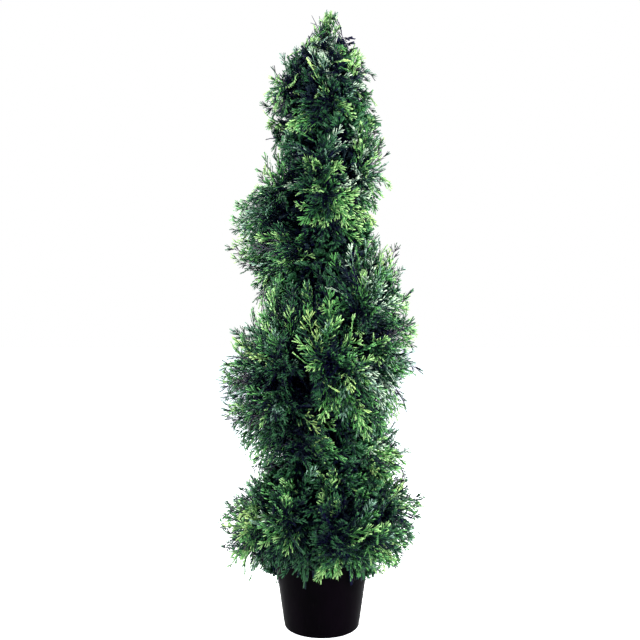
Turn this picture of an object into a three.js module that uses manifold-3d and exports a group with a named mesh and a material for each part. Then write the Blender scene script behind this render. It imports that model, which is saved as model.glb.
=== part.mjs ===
// Spiral topiary: a potted artificial cypress, made at its real size, in millimetres with +Z up.
// A tapering pole stands in a filled nursery pot. Clipped foliage climbs it as one right-handed spiral,
// in half turns that bulge to the left and to the right by turns, from a skirt over the pot to a pointed crown.
// The front of the plant faces -Y, and the origin is the middle of the pot's underside.
import * as THREE from "three";
import { mergeVertices } from "three/addons/utils/BufferGeometryUtils.js";
import Module from "manifold-3d";

const wasm = await Module();
wasm.setup();

// The gap that neighbouring solids keep.
const CLEARANCE = 0.3;

// The pot, from its foot to the rolled lip round its mouth.
const POT_HEIGHT = 162;
const POT_FOOT_RADIUS = 74;
const POT_MOUTH_RADIUS = 98;
const POT_WALL = 2.4;
const POT_FLOOR = 4;
const POT_LIP_HEIGHT = 14;
const POT_LIP_REACH = 3.5;
const POT_FACETS = 44;

// The set filling that weighs the pot down, and the pole that stands on it.
const FILL_TOP = 134;
const FILL_FACETS = 22;
const POLE_FLARE_RADIUS = 15;
const POLE_FOOT_RADIUS = 12;
const POLE_TIP_RADIUS = 5;
const POLE_TOP = 1098;
const POLE_FLARE_HEIGHT = 26;
const POLE_FACETS = 16;

// The spiral's half turns from the bottom up. Odd ones bulge to the left and even ones to the right.
// bulge is the height of the widest place and reach its distance from the pole. seam is the height of
// the crease between this half turn and the one above it on the same side, and waist the crease's radius.
// fullness rounds the underside: 1 is a straight slope in to the crease and 2 a round one.
const HALF_TURNS = new Map([
  [-2, { bulge: 230, reach: 204, seam: 290, waist: 145, fullness: 1.05 }],
  [-1, { bulge: 212, reach: 203, seam: 306, waist: 126, fullness: 2.2 }],
  [0, { bulge: 364, reach: 178, seam: 434, waist: 144, fullness: 1.6 }],
  [1, { bulge: 466, reach: 206, seam: 649, waist: 118, fullness: 1.1 }],
  [2, { bulge: 604, reach: 195, seam: 780, waist: 104, fullness: 1.8 }],
  [3, { bulge: 796, reach: 188, seam: 925, waist: 88, fullness: 1.9 }],
  [4, { bulge: 895, reach: 151, seam: 1020, waist: 98, fullness: 1.3 }],
  [5, { bulge: 1036, reach: 128, seam: 1106, waist: 82, fullness: 1.9 }],
  [6, { bulge: 1088, reach: 102, seam: 1128, waist: 76, fullness: 1.5 }],
]);
const LOWEST_TURN = -2;
const HIGHEST_TURN = 6;
const TOP_FULLNESS = 1.5;

// The skirt's lower edge hangs outside the pot's lip.
const HEM_HEIGHT = 96;
const HEM_RADIUS = 116;
const SKIRT_CORE_RADIUS = 110;
const POT_ROOM = 3;

// The crown: the tuft over the pole's tip, which ends in a leader that leans a little to the right.
const CROWN = { bulge: 1138, reach: 88, foot: 1104, footRadius: 80, fullness: 1.1 };
const CROWN_CORE_INNER_RADIUS = 3;
const CROWN_OVERLAP = 0.1;
const CROWN_TUFT_LENGTH = 56;
const CROWN_TUFT_WIDTH = 26;
const TREE_TOP = 1220;
const LEADER_LEAN = 18;

// The dense core of each mass, as shares of the way from the pole to the clipped outline.
const CORE_INNER_RADIUS = 17;
const CORE_REACH_SHARE = 0.71;
const CORE_HEIGHT_SHARE = 0.83;
const CORE_CREASE_SHARE = 0.75;
const CORE_INNER_STEP = 8;
const CORE_ROUGHNESS = 0.06;
const CORE_STEPS_PER_HALF_TURN = 8;
const CORE_ARC_STEPS = 4;
const STEM_RADIUS = 6;

// Half turns on either side of the pole keep this far from the plane between them.
const SPLIT_CLEARANCE = 0.45;

// The sprays: flat toothed blades that stand out of the core to the clipped outline.
const SPRAY_COLUMN_SPACING = 50;
const SPRAY_ROW_SPACING = 62;
const SPRAY_THICKNESS = 2.4;
const SPRAY_WIDTH_SHARE = 0.7;
const SPRAY_SUNK = 16;
const SPRAY_ROOT_SHARE = 0.6;
const SPRAY_TRIES = 14;
const SPACE_MARGIN = 1.2;

const foliageGreen = new THREE.MeshStandardMaterial({ color: 0x2b4f2e, roughness: 0.62, metalness: 0 });
const potBlack = new THREE.MeshStandardMaterial({ color: 0x16121a, roughness: 0.45, metalness: 0 });
const fillGrey = new THREE.MeshStandardMaterial({ color: 0x4a4239, roughness: 0.95, metalness: 0 });
const poleBrown = new THREE.MeshStandardMaterial({ color: 0x2c2118, roughness: 0.8, metalness: 0 });

// A repeatable stream of numbers from 0 to 1.
function seededRandom(seed) {
  let state = seed >>> 0;
  return () => {
    state = (state + 0x6d2b79f5) >>> 0;
    let mixed = Math.imul(state ^ (state >>> 15), 1 | state);
    mixed = (mixed + Math.imul(mixed ^ (mixed >>> 7), 61 | mixed)) ^ mixed;
    return ((mixed ^ (mixed >>> 14)) >>> 0) / 4294967296;
  };
}

const between = (random, low, high) => low + (high - low) * random();

// A geometry as a solid that can be joined and cut.
function toSolid(geometry) {
  const bare = geometry.clone();
  for (const name of Object.keys(bare.attributes)) {
    if (name !== "position") bare.deleteAttribute(name);
  }
  const merged = mergeVertices(bare, 1e-4);
  return new wasm.Manifold(
    new wasm.Mesh({
      numProp: 3,
      vertProperties: new Float32Array(merged.attributes.position.array),
      triVerts: new Uint32Array(merged.index.array),
    }),
  );
}

function toGeometry(solid) {
  const { numProp, numVert, vertProperties, triVerts } = solid.getMesh();
  const positions = new Float32Array(numVert * 3);
  for (let i = 0; i < numVert; i++) {
    positions.set(vertProperties.subarray(i * numProp, i * numProp + 3), i * 3);
  }
  const geometry = new THREE.BufferGeometry();
  geometry.setAttribute("position", new THREE.BufferAttribute(positions, 3));
  geometry.setIndex(new THREE.BufferAttribute(triVerts, 1));
  return geometry;
}

// A geometry from points and triangles that index them.
function facets(points, triangles) {
  const geometry = new THREE.BufferGeometry().setFromPoints(points);
  geometry.setIndex(triangles);
  return geometry;
}

// A closed profile of [radius, height] pairs turned round the plant's axis.
function turned(profile, segments) {
  const points = profile.map(([radius, height]) => new THREE.Vector2(radius, height));
  return new THREE.LatheGeometry(points, segments).rotateX(Math.PI / 2);
}

const potRadiusAt = (height) =>
  THREE.MathUtils.mapLinear(height, 0, POT_HEIGHT, POT_FOOT_RADIUS, POT_MOUTH_RADIUS);

function potGeometry() {
  const lipFoot = POT_HEIGHT - POT_LIP_HEIGHT;
  return turned(
    [
      [0, 0],
      [POT_FOOT_RADIUS - 2, 0],
      [POT_FOOT_RADIUS, 2],
      [potRadiusAt(lipFoot), lipFoot],
      [potRadiusAt(lipFoot) + POT_LIP_REACH, lipFoot + 2],
      [POT_MOUTH_RADIUS + POT_LIP_REACH, POT_HEIGHT - 3],
      [POT_MOUTH_RADIUS + 1, POT_HEIGHT],
      [POT_MOUTH_RADIUS - POT_WALL, POT_HEIGHT - 1],
      [potRadiusAt(POT_FLOOR) - POT_WALL, POT_FLOOR],
      [0, POT_FLOOR],
    ],
    POT_FACETS,
  );
}

// The filling sits inside the pot's wall and floor.
function fillGeometry() {
  const foot = POT_FLOOR + CLEARANCE;
  const inside = (height) => potRadiusAt(height) - POT_WALL - 2 * CLEARANCE;
  return turned(
    [
      [0, foot],
      [inside(foot), foot],
      [inside(FILL_TOP), FILL_TOP],
      [0, FILL_TOP],
    ],
    FILL_FACETS,
  );
}

const poleFoot = FILL_TOP + CLEARANCE;

function poleRadiusAt(height) {
  return THREE.MathUtils.mapLinear(height, poleFoot, POLE_TOP, POLE_FOOT_RADIUS, POLE_TIP_RADIUS);
}

function poleGeometry() {
  return turned(
    [
      [0, poleFoot],
      [POLE_FLARE_RADIUS, poleFoot],
      [poleRadiusAt(poleFoot + POLE_FLARE_HEIGHT), poleFoot + POLE_FLARE_HEIGHT],
      [POLE_TIP_RADIUS, POLE_TOP],
      [0, POLE_TOP],
    ],
    POLE_FACETS,
  );
}

// A size of the half turns at any turn number, smoothly between the whole ones.
function along(size, turn) {
  const start = Math.floor(turn);
  const [before, low, high, after] = [-1, 0, 1, 2].map((step) => {
    const whole = THREE.MathUtils.clamp(start + step, LOWEST_TURN, HIGHEST_TURN);
    return HALF_TURNS.get(whole)[size];
  });
  const t = turn - start;
  const risesIn = (high - before) / 2;
  const risesOut = (after - low) / 2;
  const t2 = t * t;
  const t3 = t2 * t;
  return (
    (2 * t3 - 3 * t2 + 1) * low +
    (t3 - 2 * t2 + t) * risesIn +
    (3 * t2 - 2 * t3) * high +
    (t3 - t2) * risesOut
  );
}

// The spiral's lower edge is the crease over the turn below it, or the hem where there is none.
function bottomEdge(turn) {
  const below = turn - 2;
  if (below < LOWEST_TURN - 0.5) return { height: HEM_HEIGHT, radius: HEM_RADIUS };
  return { height: along("seam", below), radius: along("waist", below) };
}

// How much of its bulge an outline keeps at a share of the way to its edge, from 1 to 0.
const rounding = (share, fullness) => Math.max(0, 1 - share ** fullness) ** (1 / fullness);

// The clipped outline of a turn, by its lift: from -1 at the lower crease, through 0 at the bulge, to 1
// at the upper one. It gives a radius from the axis and a height.
function outline(turn, lift) {
  const bulge = along("bulge", turn);
  const upper = { height: along("seam", turn), radius: along("waist", turn) };
  const edge = lift > 0 ? upper : bottomEdge(turn);
  const share = Math.sin((Math.PI / 2) * Math.abs(lift));
  const kept = rounding(share, lift > 0 ? TOP_FULLNESS : along("fullness", turn));
  return {
    radius: edge.radius + (along("reach", turn) - edge.radius) * kept,
    height: THREE.MathUtils.lerp(bulge, edge.height, share),
  };
}

// The crown's outline, which has no crease above it and narrows to the leader.
function crownOutline(turn, lift) {
  const share = Math.sin((Math.PI / 2) * Math.abs(lift));
  const kept = rounding(share, CROWN.fullness);
  const foot = Math.max(CROWN.foot, along("seam", turn - 2));
  if (lift > 0) {
    return { radius: CROWN.reach * kept, height: THREE.MathUtils.lerp(CROWN.bulge, TREE_TOP, share) };
  }
  return {
    radius: CROWN.footRadius + (CROWN.reach - CROWN.footRadius) * kept,
    height: THREE.MathUtils.lerp(CROWN.bulge, foot, share),
  };
}

// The direction away from the pole at a turn number, with even turns to the right.
const outward = (turn) => new THREE.Vector3(Math.cos(Math.PI * turn), Math.sin(Math.PI * turn), 0);

// A place of an outline as a point.
const placeAt = (turn, { radius, height }) => outward(turn).multiplyScalar(radius).setZ(height);

// A half turn of foliage: where it starts and ends, how it is outlined and what is in its space. The
// skirt's core hangs down outside the pot.
function halfTurn(turn) {
  const span = { from: turn - 0.5, to: turn + 0.5 };
  const hang = turn < 0 ? SKIRT_CORE_RADIUS - CORE_INNER_RADIUS : 0;
  const coreInner = (lift) => CORE_INNER_RADIUS + hang * Math.max(0, -lift);
  return { span, outline, coreInner, split: SPLIT_CLEARANCE, fits: (point) => fitsHalfTurn(point, turn, span) };
}

// The core's surface under a place of the outline.
function coreSurface(mass, turn, lift) {
  const outer = mass.outline(turn, lift);
  const middle = mass.outline(turn, 0);
  const inner = mass.coreInner(lift);
  const share = CORE_REACH_SHARE * THREE.MathUtils.lerp(CORE_CREASE_SHARE, 1, Math.cos((Math.PI / 2) * lift));
  return {
    radius: THREE.MathUtils.lerp(inner, outer.radius, share),
    height: THREE.MathUtils.lerp(middle.height, outer.height, CORE_HEIGHT_SHARE),
  };
}

// A core carried round the pole from one turn number to another, as a ring of points at each step.
function coreSolid(mass, random, { from, to } = mass.span) {
  const steps = Math.round((to - from) * CORE_STEPS_PER_HALF_TURN);
  const rings = [];
  for (let i = 0; i <= steps; i++) {
    const turn = THREE.MathUtils.lerp(from, to, i / steps);
    const inset = (i === 0 ? 1 : i === steps ? -1 : 0) * mass.split;
    const sideways = outward(turn + 0.5).multiplyScalar(inset);
    const section = [];
    for (let k = 0; k <= CORE_ARC_STEPS; k++) {
      const place = coreSurface(mass, turn, (2 * k) / CORE_ARC_STEPS - 1);
      section.push({ ...place, radius: place.radius * (1 + between(random, -1, 1) * CORE_ROUGHNESS) });
    }
    const radius = mass.coreInner(0);
    section.push({ radius, height: section.at(-1).height - CORE_INNER_STEP });
    section.push({ radius, height: section[0].height + CORE_INNER_STEP });
    rings.push(section.map((place) => placeAt(turn, place).add(sideways)));
  }
  return toSolid(facets(rings.flat(), tubeTriangles(steps, rings[0].length)));
}

// The faces of a tube of rings, with a fan over each end.
function tubeTriangles(steps, ring) {
  const triangles = [];
  for (let i = 0; i < steps; i++) {
    for (let k = 0; k < ring; k++) {
      const a = i * ring + k;
      const b = i * ring + ((k + 1) % ring);
      triangles.push(a, a + ring, b, b, a + ring, b + ring);
    }
  }
  const last = steps * ring;
  for (let k = 1; k < ring - 1; k++) {
    triangles.push(0, k, k + 1);
    triangles.push(last, last + k + 1, last + k);
  }
  return triangles;
}

// A six-sided prism from one point to another.
function stemSolid(start, end, startRadius, endRadius) {
  const length = new THREE.Vector3().subVectors(end, start);
  const geometry = new THREE.CylinderGeometry(endRadius, startRadius, length.length(), 6);
  const up = new THREE.Vector3(0, 1, 0);
  geometry.applyQuaternion(new THREE.Quaternion().setFromUnitVectors(up, length.clone().normalize()));
  const middle = new THREE.Vector3().lerpVectors(start, end, 0.5);
  return toSolid(geometry.translate(middle.x, middle.y, middle.z));
}

// Half the outline of a spray from its root to its last notch, as shares of its length and half width,
// and its ridge as shares of its length and of half its thickness.
const SPRAY_EDGE = [
  { at: 0, half: 0.07 },
  { at: 0.52, half: 1 },
  { at: 0.48, half: 0.3 },
  { at: 0.83, half: 0.66 },
  { at: 0.76, half: 0.2 },
];
const SPRAY_RIDGE = [
  { at: 0, lift: 0.8 },
  { at: 0.5, lift: 1 },
];

// The points of a toothed blade. across is the direction of its width, and it bows out of its plane.
function sprayPoints({ root, tip, across, width, bow }) {
  const length = new THREE.Vector3().subVectors(tip, root);
  const face = new THREE.Vector3().crossVectors(across, length).normalize();
  const place = (at, sideways, raised) =>
    root
      .clone()
      .addScaledVector(length, at)
      .addScaledVector(across, sideways * width * 0.5)
      .addScaledVector(face, raised + bow * 4 * at * (1 - at));
  const left = SPRAY_EDGE.map(({ at, half }) => place(at, -half, 0));
  const right = SPRAY_EDGE.map(({ at, half }) => place(at, half, 0));
  const top = SPRAY_RIDGE.map(({ at, lift }) => place(at, 0, (lift * SPRAY_THICKNESS) / 2));
  const under = SPRAY_RIDGE.map(({ at, lift }) => place(at, 0, (-lift * SPRAY_THICKNESS) / 2));
  return [...left, ...right, ...top, ...under, tip.clone()];
}

// The blade's faces: four quarters that share the edges, the ridge and the keel, and a cut root.
function sprayTriangles() {
  const n = SPRAY_EDGE.length;
  const m = SPRAY_RIDGE.length;
  const tip = 2 * n + 2 * m;
  const quarter = (edge, ridge) => [
    [edge, edge + 1, edge + 2],
    [edge, edge + 2, ridge],
    [ridge, edge + 2, ridge + 1],
    [edge + 2, edge + 3, edge + 4],
    [ridge + 1, edge + 2, edge + 4],
    [ridge + 1, edge + 4, tip],
  ];
  const turnedOver = (faces) => faces.map(([a, b, c]) => [a, c, b]);
  return [
    ...turnedOver(quarter(0, 2 * n)),
    ...quarter(0, 2 * n + m),
    ...quarter(n, 2 * n),
    ...turnedOver(quarter(n, 2 * n + m)),
    [0, 2 * n + m, 2 * n],
    [n, 2 * n, 2 * n + m],
  ].flat();
}
const SPRAY_FACES = sprayTriangles();

// The blade's points and the middles of its long edges.
function sprayProbes(points) {
  const [root, tooth, far, otherRoot, otherTooth, otherFar, tip] = [0, 1, 3, 5, 6, 8, 14].map((i) => points[i]);
  const edges = [[root, tooth], [tooth, far], [far, tip], [otherRoot, otherTooth], [otherTooth, otherFar], [otherFar, tip]];
  const middles = edges.map(([a, b]) => new THREE.Vector3().lerpVectors(a, b, 0.5));
  return [...points, ...middles];
}

// The turn number, in the half turns that start at a turn number, at which a point stands round the pole.
function turnOf(point, from) {
  const around = Math.atan2(point.y, point.x) / Math.PI;
  return around + 2 * Math.ceil((from - around) / 2);
}

// The room that foliage leaves round the pot's outside and over its mouth.
const potRoom = toSolid(
  turned(
    [
      [0, 0],
      [POT_FOOT_RADIUS + POT_ROOM, 0],
      [POT_MOUTH_RADIUS + POT_LIP_REACH + POT_ROOM, POT_HEIGHT - POT_LIP_HEIGHT],
      [POT_MOUTH_RADIUS + POT_LIP_REACH + POT_ROOM, POT_HEIGHT + 1],
      [0, POT_HEIGHT + 1],
    ],
    POT_FACETS,
  ),
);

// Whether a point is in the space of a half turn: on its side of the pole, off the pole and between
// its creases.
function fitsHalfTurn(point, turn, span) {
  const radius = Math.hypot(point.x, point.y);
  if (point.dot(outward(turn)) < SPLIT_CLEARANCE) return false;
  if (radius < CORE_INNER_RADIUS) return false;
  const here = turnOf(point, span.from);
  if (point.z > along("seam", here) - SPACE_MARGIN) return false;
  return here - 2 < LOWEST_TURN - 0.5 || point.z > along("seam", here - 2) + SPACE_MARGIN;
}

// Whether a point is in the crown's space, over the creases of the last half turns.
function fitsCrown(point) {
  const radius = Math.hypot(point.x, point.y);
  const overPole = point.z > POLE_TOP + SPACE_MARGIN || radius > CORE_INNER_RADIUS;
  return overPole && point.z > along("seam", turnOf(point, HIGHEST_TURN + 0.5) - 2) + SPACE_MARGIN;
}

// The places of a mass's sprays, spread evenly over its outline. Each is given as a rule, so that a
// spray that doesn't fit can be tried again a little to the side.
function sprayPlaces(mass, random) {
  const places = [];
  const { from, to } = mass.span;
  const reach = mass.outline((from + to) / 2, 0).radius;
  const columns = Math.round((Math.PI * (to - from) * reach) / SPRAY_COLUMN_SPACING);
  for (let column = 0; column < columns; column++) {
    const middle = THREE.MathUtils.lerp(from, to, (column + 0.5) / columns);
    const high = mass.outline(middle, 1);
    const low = mass.outline(middle, -1);
    const across = 2 * reach - high.radius - low.radius;
    const rows = Math.max(3, Math.round(Math.hypot(high.height - low.height, across) / SPRAY_ROW_SPACING));
    for (let row = 0; row < rows; row++) {
      places.push((jitter) => ({
        turn: middle + (between(random, -jitter, jitter) * (to - from)) / columns,
        lift: (2 * (row + 0.5 + between(random, -jitter, jitter))) / rows - 1,
      }));
    }
  }
  return places;
}

// A spray at a place of the outline. It leaves the core and fans up, out or down to the outline.
function sprayAt(mass, { turn, lift }, { roll, size }, random) {
  const tip = placeAt(turn, mass.outline(turn, lift));
  const root = placeAt(turn, coreSurface(mass, turn, lift * SPRAY_ROOT_SHARE));
  const direction = new THREE.Vector3().subVectors(tip, root).normalize();
  const reach = tip.distanceTo(root);
  tip.addScaledVector(direction, between(random, -0.16, 0.02) * reach);
  root.addScaledVector(direction, -SPRAY_SUNK);
  const width = Math.min(SPRAY_WIDTH_SHARE * (reach + SPRAY_SUNK), SPRAY_ROW_SPACING) * size;
  const across = outward(turn + 0.5).applyAxisAngle(direction, Math.PI / 2 + roll);
  return sprayPoints({ root, tip, across, width, bow: between(random, -4, 6) });
}

const touches = (solid, spray) => !solid.intersect(spray).isEmpty();

// Grows sprays on a core, and leaves out each one that leaves its space, meets another mass or would
// cross a spray before it.
function withSprays(mass, core, others, random) {
  const grown = [];
  let solid = core;
  for (const place of sprayPlaces(mass, random)) {
    for (let attempt = 0; attempt < SPRAY_TRIES; attempt++) {
      const patience = attempt / SPRAY_TRIES;
      const roll = between(random, -1, 1) * (0.9 + 0.6 * patience);
      const size = between(random, 0.85, 1.1) * (1 - 0.5 * patience);
      const points = sprayAt(mass, place(0.25 + 0.25 * patience), { roll, size }, random);
      if (!sprayProbes(points).every(mass.fits)) continue;
      const spray = toSolid(facets(points, SPRAY_FACES));
      const box = new THREE.Box3().setFromPoints(points);
      if (grown.some((other) => other.box.intersectsBox(box) && touches(other.spray, spray))) continue;
      if (others.some((other) => touches(other, spray))) continue;
      grown.push({ spray, box });
      solid = solid.add(spray);
      break;
    }
  }
  return solid;
}

// The largest body of a solid, without loose scraps.
function largestBody(solid) {
  return solid.decompose().reduce((most, body) => (body.volume() > most.volume() ? body : most));
}

// A half turn: a core on a short stem that reaches the pole, with its sprays.
function halfTurnSolid(turn, others) {
  const random = seededRandom(4200 + turn);
  const mass = halfTurn(turn);
  const { height } = outline(turn, 0);
  const foot = placeAt(turn, { radius: poleRadiusAt(height) + CLEARANCE, height });
  const head = placeAt(turn, { radius: CORE_INNER_RADIUS + 16, height });
  const core = coreSolid(mass, random).add(stemSolid(foot, head, STEM_RADIUS * 0.7, STEM_RADIUS));
  return largestBody(withSprays(mass, core, others, random).subtract(potRoom));
}

// Leans a point of the crown with its leader. The lean begins at the crown's bulge.
function leanWithLeader(point) {
  const rise = Math.max(0, (point[2] - CROWN.bulge) / (TREE_TOP - CROWN.bulge));
  point[0] += LEADER_LEAN * rise;
}

// The crown: a core on a leader that stands on the pole's tip, with sprays all round.
function crownSolid(others) {
  const random = seededRandom(4300);
  const [from, middle, to] = [0.5, 1.5, 2.5].map((turns) => HIGHEST_TURN + turns);
  const coreInner = () => CROWN_CORE_INNER_RADIUS;
  const mass = { span: { from, to }, outline: crownOutline, coreInner, split: -CROWN_OVERLAP, fits: fitsCrown };
  const foot = new THREE.Vector3(0, 0, POLE_TOP + CLEARANCE);
  const head = new THREE.Vector3(0, 0, TREE_TOP - CROWN_TUFT_LENGTH);
  const tip = new THREE.Vector3(0, 0, TREE_TOP);
  const leader = stemSolid(foot, head, POLE_TIP_RADIUS, POLE_TIP_RADIUS * 0.6);
  const tuft = { root: head, tip, across: outward(0), width: CROWN_TUFT_WIDTH, bow: 0 };
  const core = coreSolid(mass, random, { from, to: middle })
    .add(coreSolid(mass, random, { from: middle, to }))
    .add(leader)
    .add(toSolid(facets(sprayPoints(tuft), SPRAY_FACES)));
  return largestBody(withSprays(mass, core, others, random)).warp(leanWithLeader);
}

function named(name, geometry, material) {
  const mesh = new THREE.Mesh(geometry, material);
  mesh.name = name;
  return mesh;
}

const topiary = new THREE.Group();
topiary.add(named("pot", potGeometry(), potBlack));
topiary.add(named("pot_filling", fillGeometry(), fillGrey));
topiary.add(named("trunk_pole", poleGeometry(), poleBrown));

const masses = [];
for (const turn of HALF_TURNS.keys()) {
  masses.push({ side: turn % 2 ? "left" : "right", solid: halfTurnSolid(turn, masses.map(({ solid }) => solid)) });
}
masses.push({ side: "crown", solid: crownSolid(masses.map(({ solid }) => solid)) });
masses.forEach(({ side, solid }, i) => {
  topiary.add(named(`foliage_${String(i + 1).padStart(2, "0")}_${side}`, toGeometry(solid), foliageGreen));
});

export default topiary;
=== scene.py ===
"""Looks of a potted artificial spiral topiary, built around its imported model.

A tapering pole stands in a filled nursery pot. Foliage climbs it as one right-handed spiral, in half turns
that bulge to the left and to the right by turns, up to a pointed crown. Each mass of foliage becomes boughs,
twigs and moulded sprays that grow on from the pole by the rule that shaped its solid. Everything is in
metres with +Z up, and the front of the plant faces -Y.
"""

import logging
import math
from collections.abc import Callable, Mapping
from dataclasses import dataclass, field
from enum import Enum, IntEnum

import bmesh
import bpy
import numpy as np
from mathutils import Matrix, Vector, noise


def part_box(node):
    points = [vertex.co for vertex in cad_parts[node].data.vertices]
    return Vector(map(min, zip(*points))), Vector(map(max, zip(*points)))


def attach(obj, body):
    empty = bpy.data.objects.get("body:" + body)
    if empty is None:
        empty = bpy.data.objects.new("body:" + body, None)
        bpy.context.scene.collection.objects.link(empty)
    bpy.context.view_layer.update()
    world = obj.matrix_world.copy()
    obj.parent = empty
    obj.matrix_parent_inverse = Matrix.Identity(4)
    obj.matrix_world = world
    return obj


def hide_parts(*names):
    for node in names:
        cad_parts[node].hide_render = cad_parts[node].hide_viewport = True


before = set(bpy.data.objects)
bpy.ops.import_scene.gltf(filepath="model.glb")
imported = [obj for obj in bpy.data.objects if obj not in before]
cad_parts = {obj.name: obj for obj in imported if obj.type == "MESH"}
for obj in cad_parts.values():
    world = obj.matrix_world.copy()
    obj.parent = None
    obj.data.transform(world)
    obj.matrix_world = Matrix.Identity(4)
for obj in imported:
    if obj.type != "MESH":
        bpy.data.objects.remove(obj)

LOG = logging.getLogger("topiary")
BODY = "root"

Array = np.ndarray
Pair = tuple[float, float]
Triple = tuple[float, float, float]
Colour = Triple
Finger = tuple[Array, Array, float, int]
Value = "Signal | float | tuple[float, ...]"


class Tint(IntEnum):
    """The plain colours of the moulded sprays, which are also the material slots of a leaf piece. SHADE, a
    near-black navy, is painted shade: it is worn inside the mass and in the hollows, and is not a colour of
    the plastic.
    """

    SHADE = 0
    DEEP = 1
    MID = 2
    LEAF = 3
    FRESH = 4
    GOLD = 5
    TEAL = 6
    FROST = 7
    PLUM = 8


class Dress(Enum):
    """How a spray is coloured: the tints of its side stems, its inner leaves and its tips."""

    # NIGHT and DARK are painted shade, worn deep in the mass, inside it, in the creases and round the
    # hollows. DARK is also dealt at random as some sprays' own dark green.
    NIGHT = (Tint.SHADE, Tint.SHADE, Tint.DEEP)
    DARK = (Tint.SHADE, Tint.DEEP, Tint.MID)
    GREEN = (Tint.DEEP, Tint.MID, Tint.LEAF)
    LEAFY = (Tint.DEEP, Tint.LEAF, Tint.FRESH)
    YOUNG = (Tint.MID, Tint.FRESH, Tint.GOLD)
    BLUE = (Tint.DEEP, Tint.MID, Tint.TEAL)
    PALE = (Tint.DEEP, Tint.TEAL, Tint.FROST)
    # This dress is dark plum-grey for runners at the plant's sides: painted shade on strands that are backlit
    # at the silhouette.
    BARE = (Tint.SHADE, Tint.PLUM, Tint.MID)

    @property
    def number(self) -> int:
        """Its row in the table of the dresses' tints."""
        return list(Dress).index(self)


DRESS_TINTS = np.array([dress.value for dress in Dress])


class Signal:
    """A node's output that takes part in sums as a plain number does."""

    def __init__(self, sheet: "Sheet", socket: bpy.types.NodeSocket | None) -> None:
        """Wraps an output socket of a sheet's node, or none where the node only takes inputs."""
        self.sheet = sheet
        self.socket = socket

    def _maths(self, operation: str, first: Value, second: Value) -> "Signal":
        """Adds the Math node for an operation on two values."""
        return self.sheet.add("ShaderNodeMath", {"operation": operation}, {0: first, 1: second})

    def __add__(self, other: Value) -> "Signal":
        """self + other."""
        return self._maths("ADD", self, other)

    def __radd__(self, other: Value) -> "Signal":
        """other + self."""
        return self._maths("ADD", other, self)

    def __sub__(self, other: Value) -> "Signal":
        """self - other."""
        return self._maths("SUBTRACT", self, other)

    def __rsub__(self, other: Value) -> "Signal":
        """other - self."""
        return self._maths("SUBTRACT", other, self)

    def __mul__(self, other: Value) -> "Signal":
        """self * other."""
        return self._maths("MULTIPLY", self, other)

    def __rmul__(self, other: Value) -> "Signal":
        """other * self."""
        return self._maths("MULTIPLY", other, self)


class Sheet:
    """The node sheet of one material or world, with a single shader."""

    def __init__(self, name: str, kind: str = "materials") -> None:
        """Starts an empty material, or another kind of block, of that name.

        Args:
            name: The block's name.
            kind: The collection of Blender's data that it belongs to.
        """
        self.block = getattr(bpy.data, kind).new(name)
        self.block.use_nodes = True
        self.tree = self.block.node_tree
        self.tree.nodes.clear()

    def add(
        self,
        kind: str,
        settings: Mapping[str, object] | None = None,
        values: Mapping[int | str, Value] | None = None,
        output: int | str = 0,
    ) -> Signal:
        """Adds a node.

        Args:
            kind: The node's type.
            settings: Its properties, which are set first.
            values: What its inputs take, by name or number: a signal to link or a plain value.
            output: The output that is given back.

        Returns:
            The signal at that output.
        """
        node = self.tree.nodes.new(kind)
        for name, setting in (settings or {}).items():
            setattr(node, name, setting)
        for name, value in (values or {}).items():
            if isinstance(value, Signal):
                self.tree.links.new(value.socket, node.inputs[name])
            else:
                node.inputs[name].default_value = value
        return Signal(self, node.outputs[output] if node.outputs else None)

    def coordinate(self, kind: str, axis: str) -> Signal:
        """One axis of the texture coordinates of a kind."""
        place = self.add("ShaderNodeTexCoord", output=kind)
        return self.add("ShaderNodeSeparateXYZ", values={"Vector": place}, output=axis)

    def mottle(self, scale: float, detail: float, stretch: Triple = (1, 1, 1)) -> Signal:
        """Soft noise on the piece's own coordinates.

        Args:
            scale: Its blotches to a metre.
            detail: Its octaves.
            stretch: How much finer it is along each axis.

        Returns:
            Its strength, from about 0.2 to 0.8.
        """
        place = self.add("ShaderNodeTexCoord", output="Object")
        stretched = self.add("ShaderNodeMapping", values={"Vector": place, "Scale": stretch})
        return self.add("ShaderNodeTexNoise", values={"Vector": stretched, "Scale": scale, "Detail": detail})

    def spread(self, signal: Signal, low: float, high: float) -> Signal:
        """A signal with the stretch from low to high drawn out to the range from 0 to 1."""
        values = {"Value": signal, "From Min": low, "From Max": high}
        return self.add("ShaderNodeMapRange", {"clamp": True}, values)

    def blend(self, share: Value, first: Value, second: Value) -> Signal:
        """A mix of two colours by a share from 0, all first, to 1, all second."""
        return self.add("ShaderNodeMix", {"data_type": "RGBA"}, {0: share, 6: first, 7: second}, 2)

    def bump(self, height: Signal, distance: float, strength: float) -> Signal:
        """The normals of a relief with this height, at its depth in metres and its strength."""
        values = {"Height": height, "Distance": distance, "Strength": strength}
        return self.add("ShaderNodeBump", values=values)

    def finish(self, values: Mapping[str, Value]) -> bpy.types.Material:
        """Adds the surface shader with these inputs and gives the material.

        Args:
            values: What the shader's inputs take, by name.

        Returns:
            The finished material.
        """
        surface = self.add("ShaderNodeBsdfPrincipled", values=values)
        self.add("ShaderNodeOutputMaterial", values={"Surface": surface})
        return self.block


def solid(colour: Colour) -> tuple[float, float, float, float]:
    """A colour with full opacity, as a colour socket takes it."""
    return (*colour, 1.0)


@dataclass(frozen=True)
class SprayPlastic:
    """Moulded leaf plastic of one plain colour. The tints change from spray to spray, not within a leaf."""

    name: str
    colour: Colour
    roughness: float
    gloss: float

    def material(self) -> bpy.types.Material:
        """The plastic as a material."""
        look = {"Base Color": solid(self.colour), "Roughness": self.roughness}
        return Sheet(self.name).finish(look | {"Specular IOR Level": self.gloss})


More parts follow.
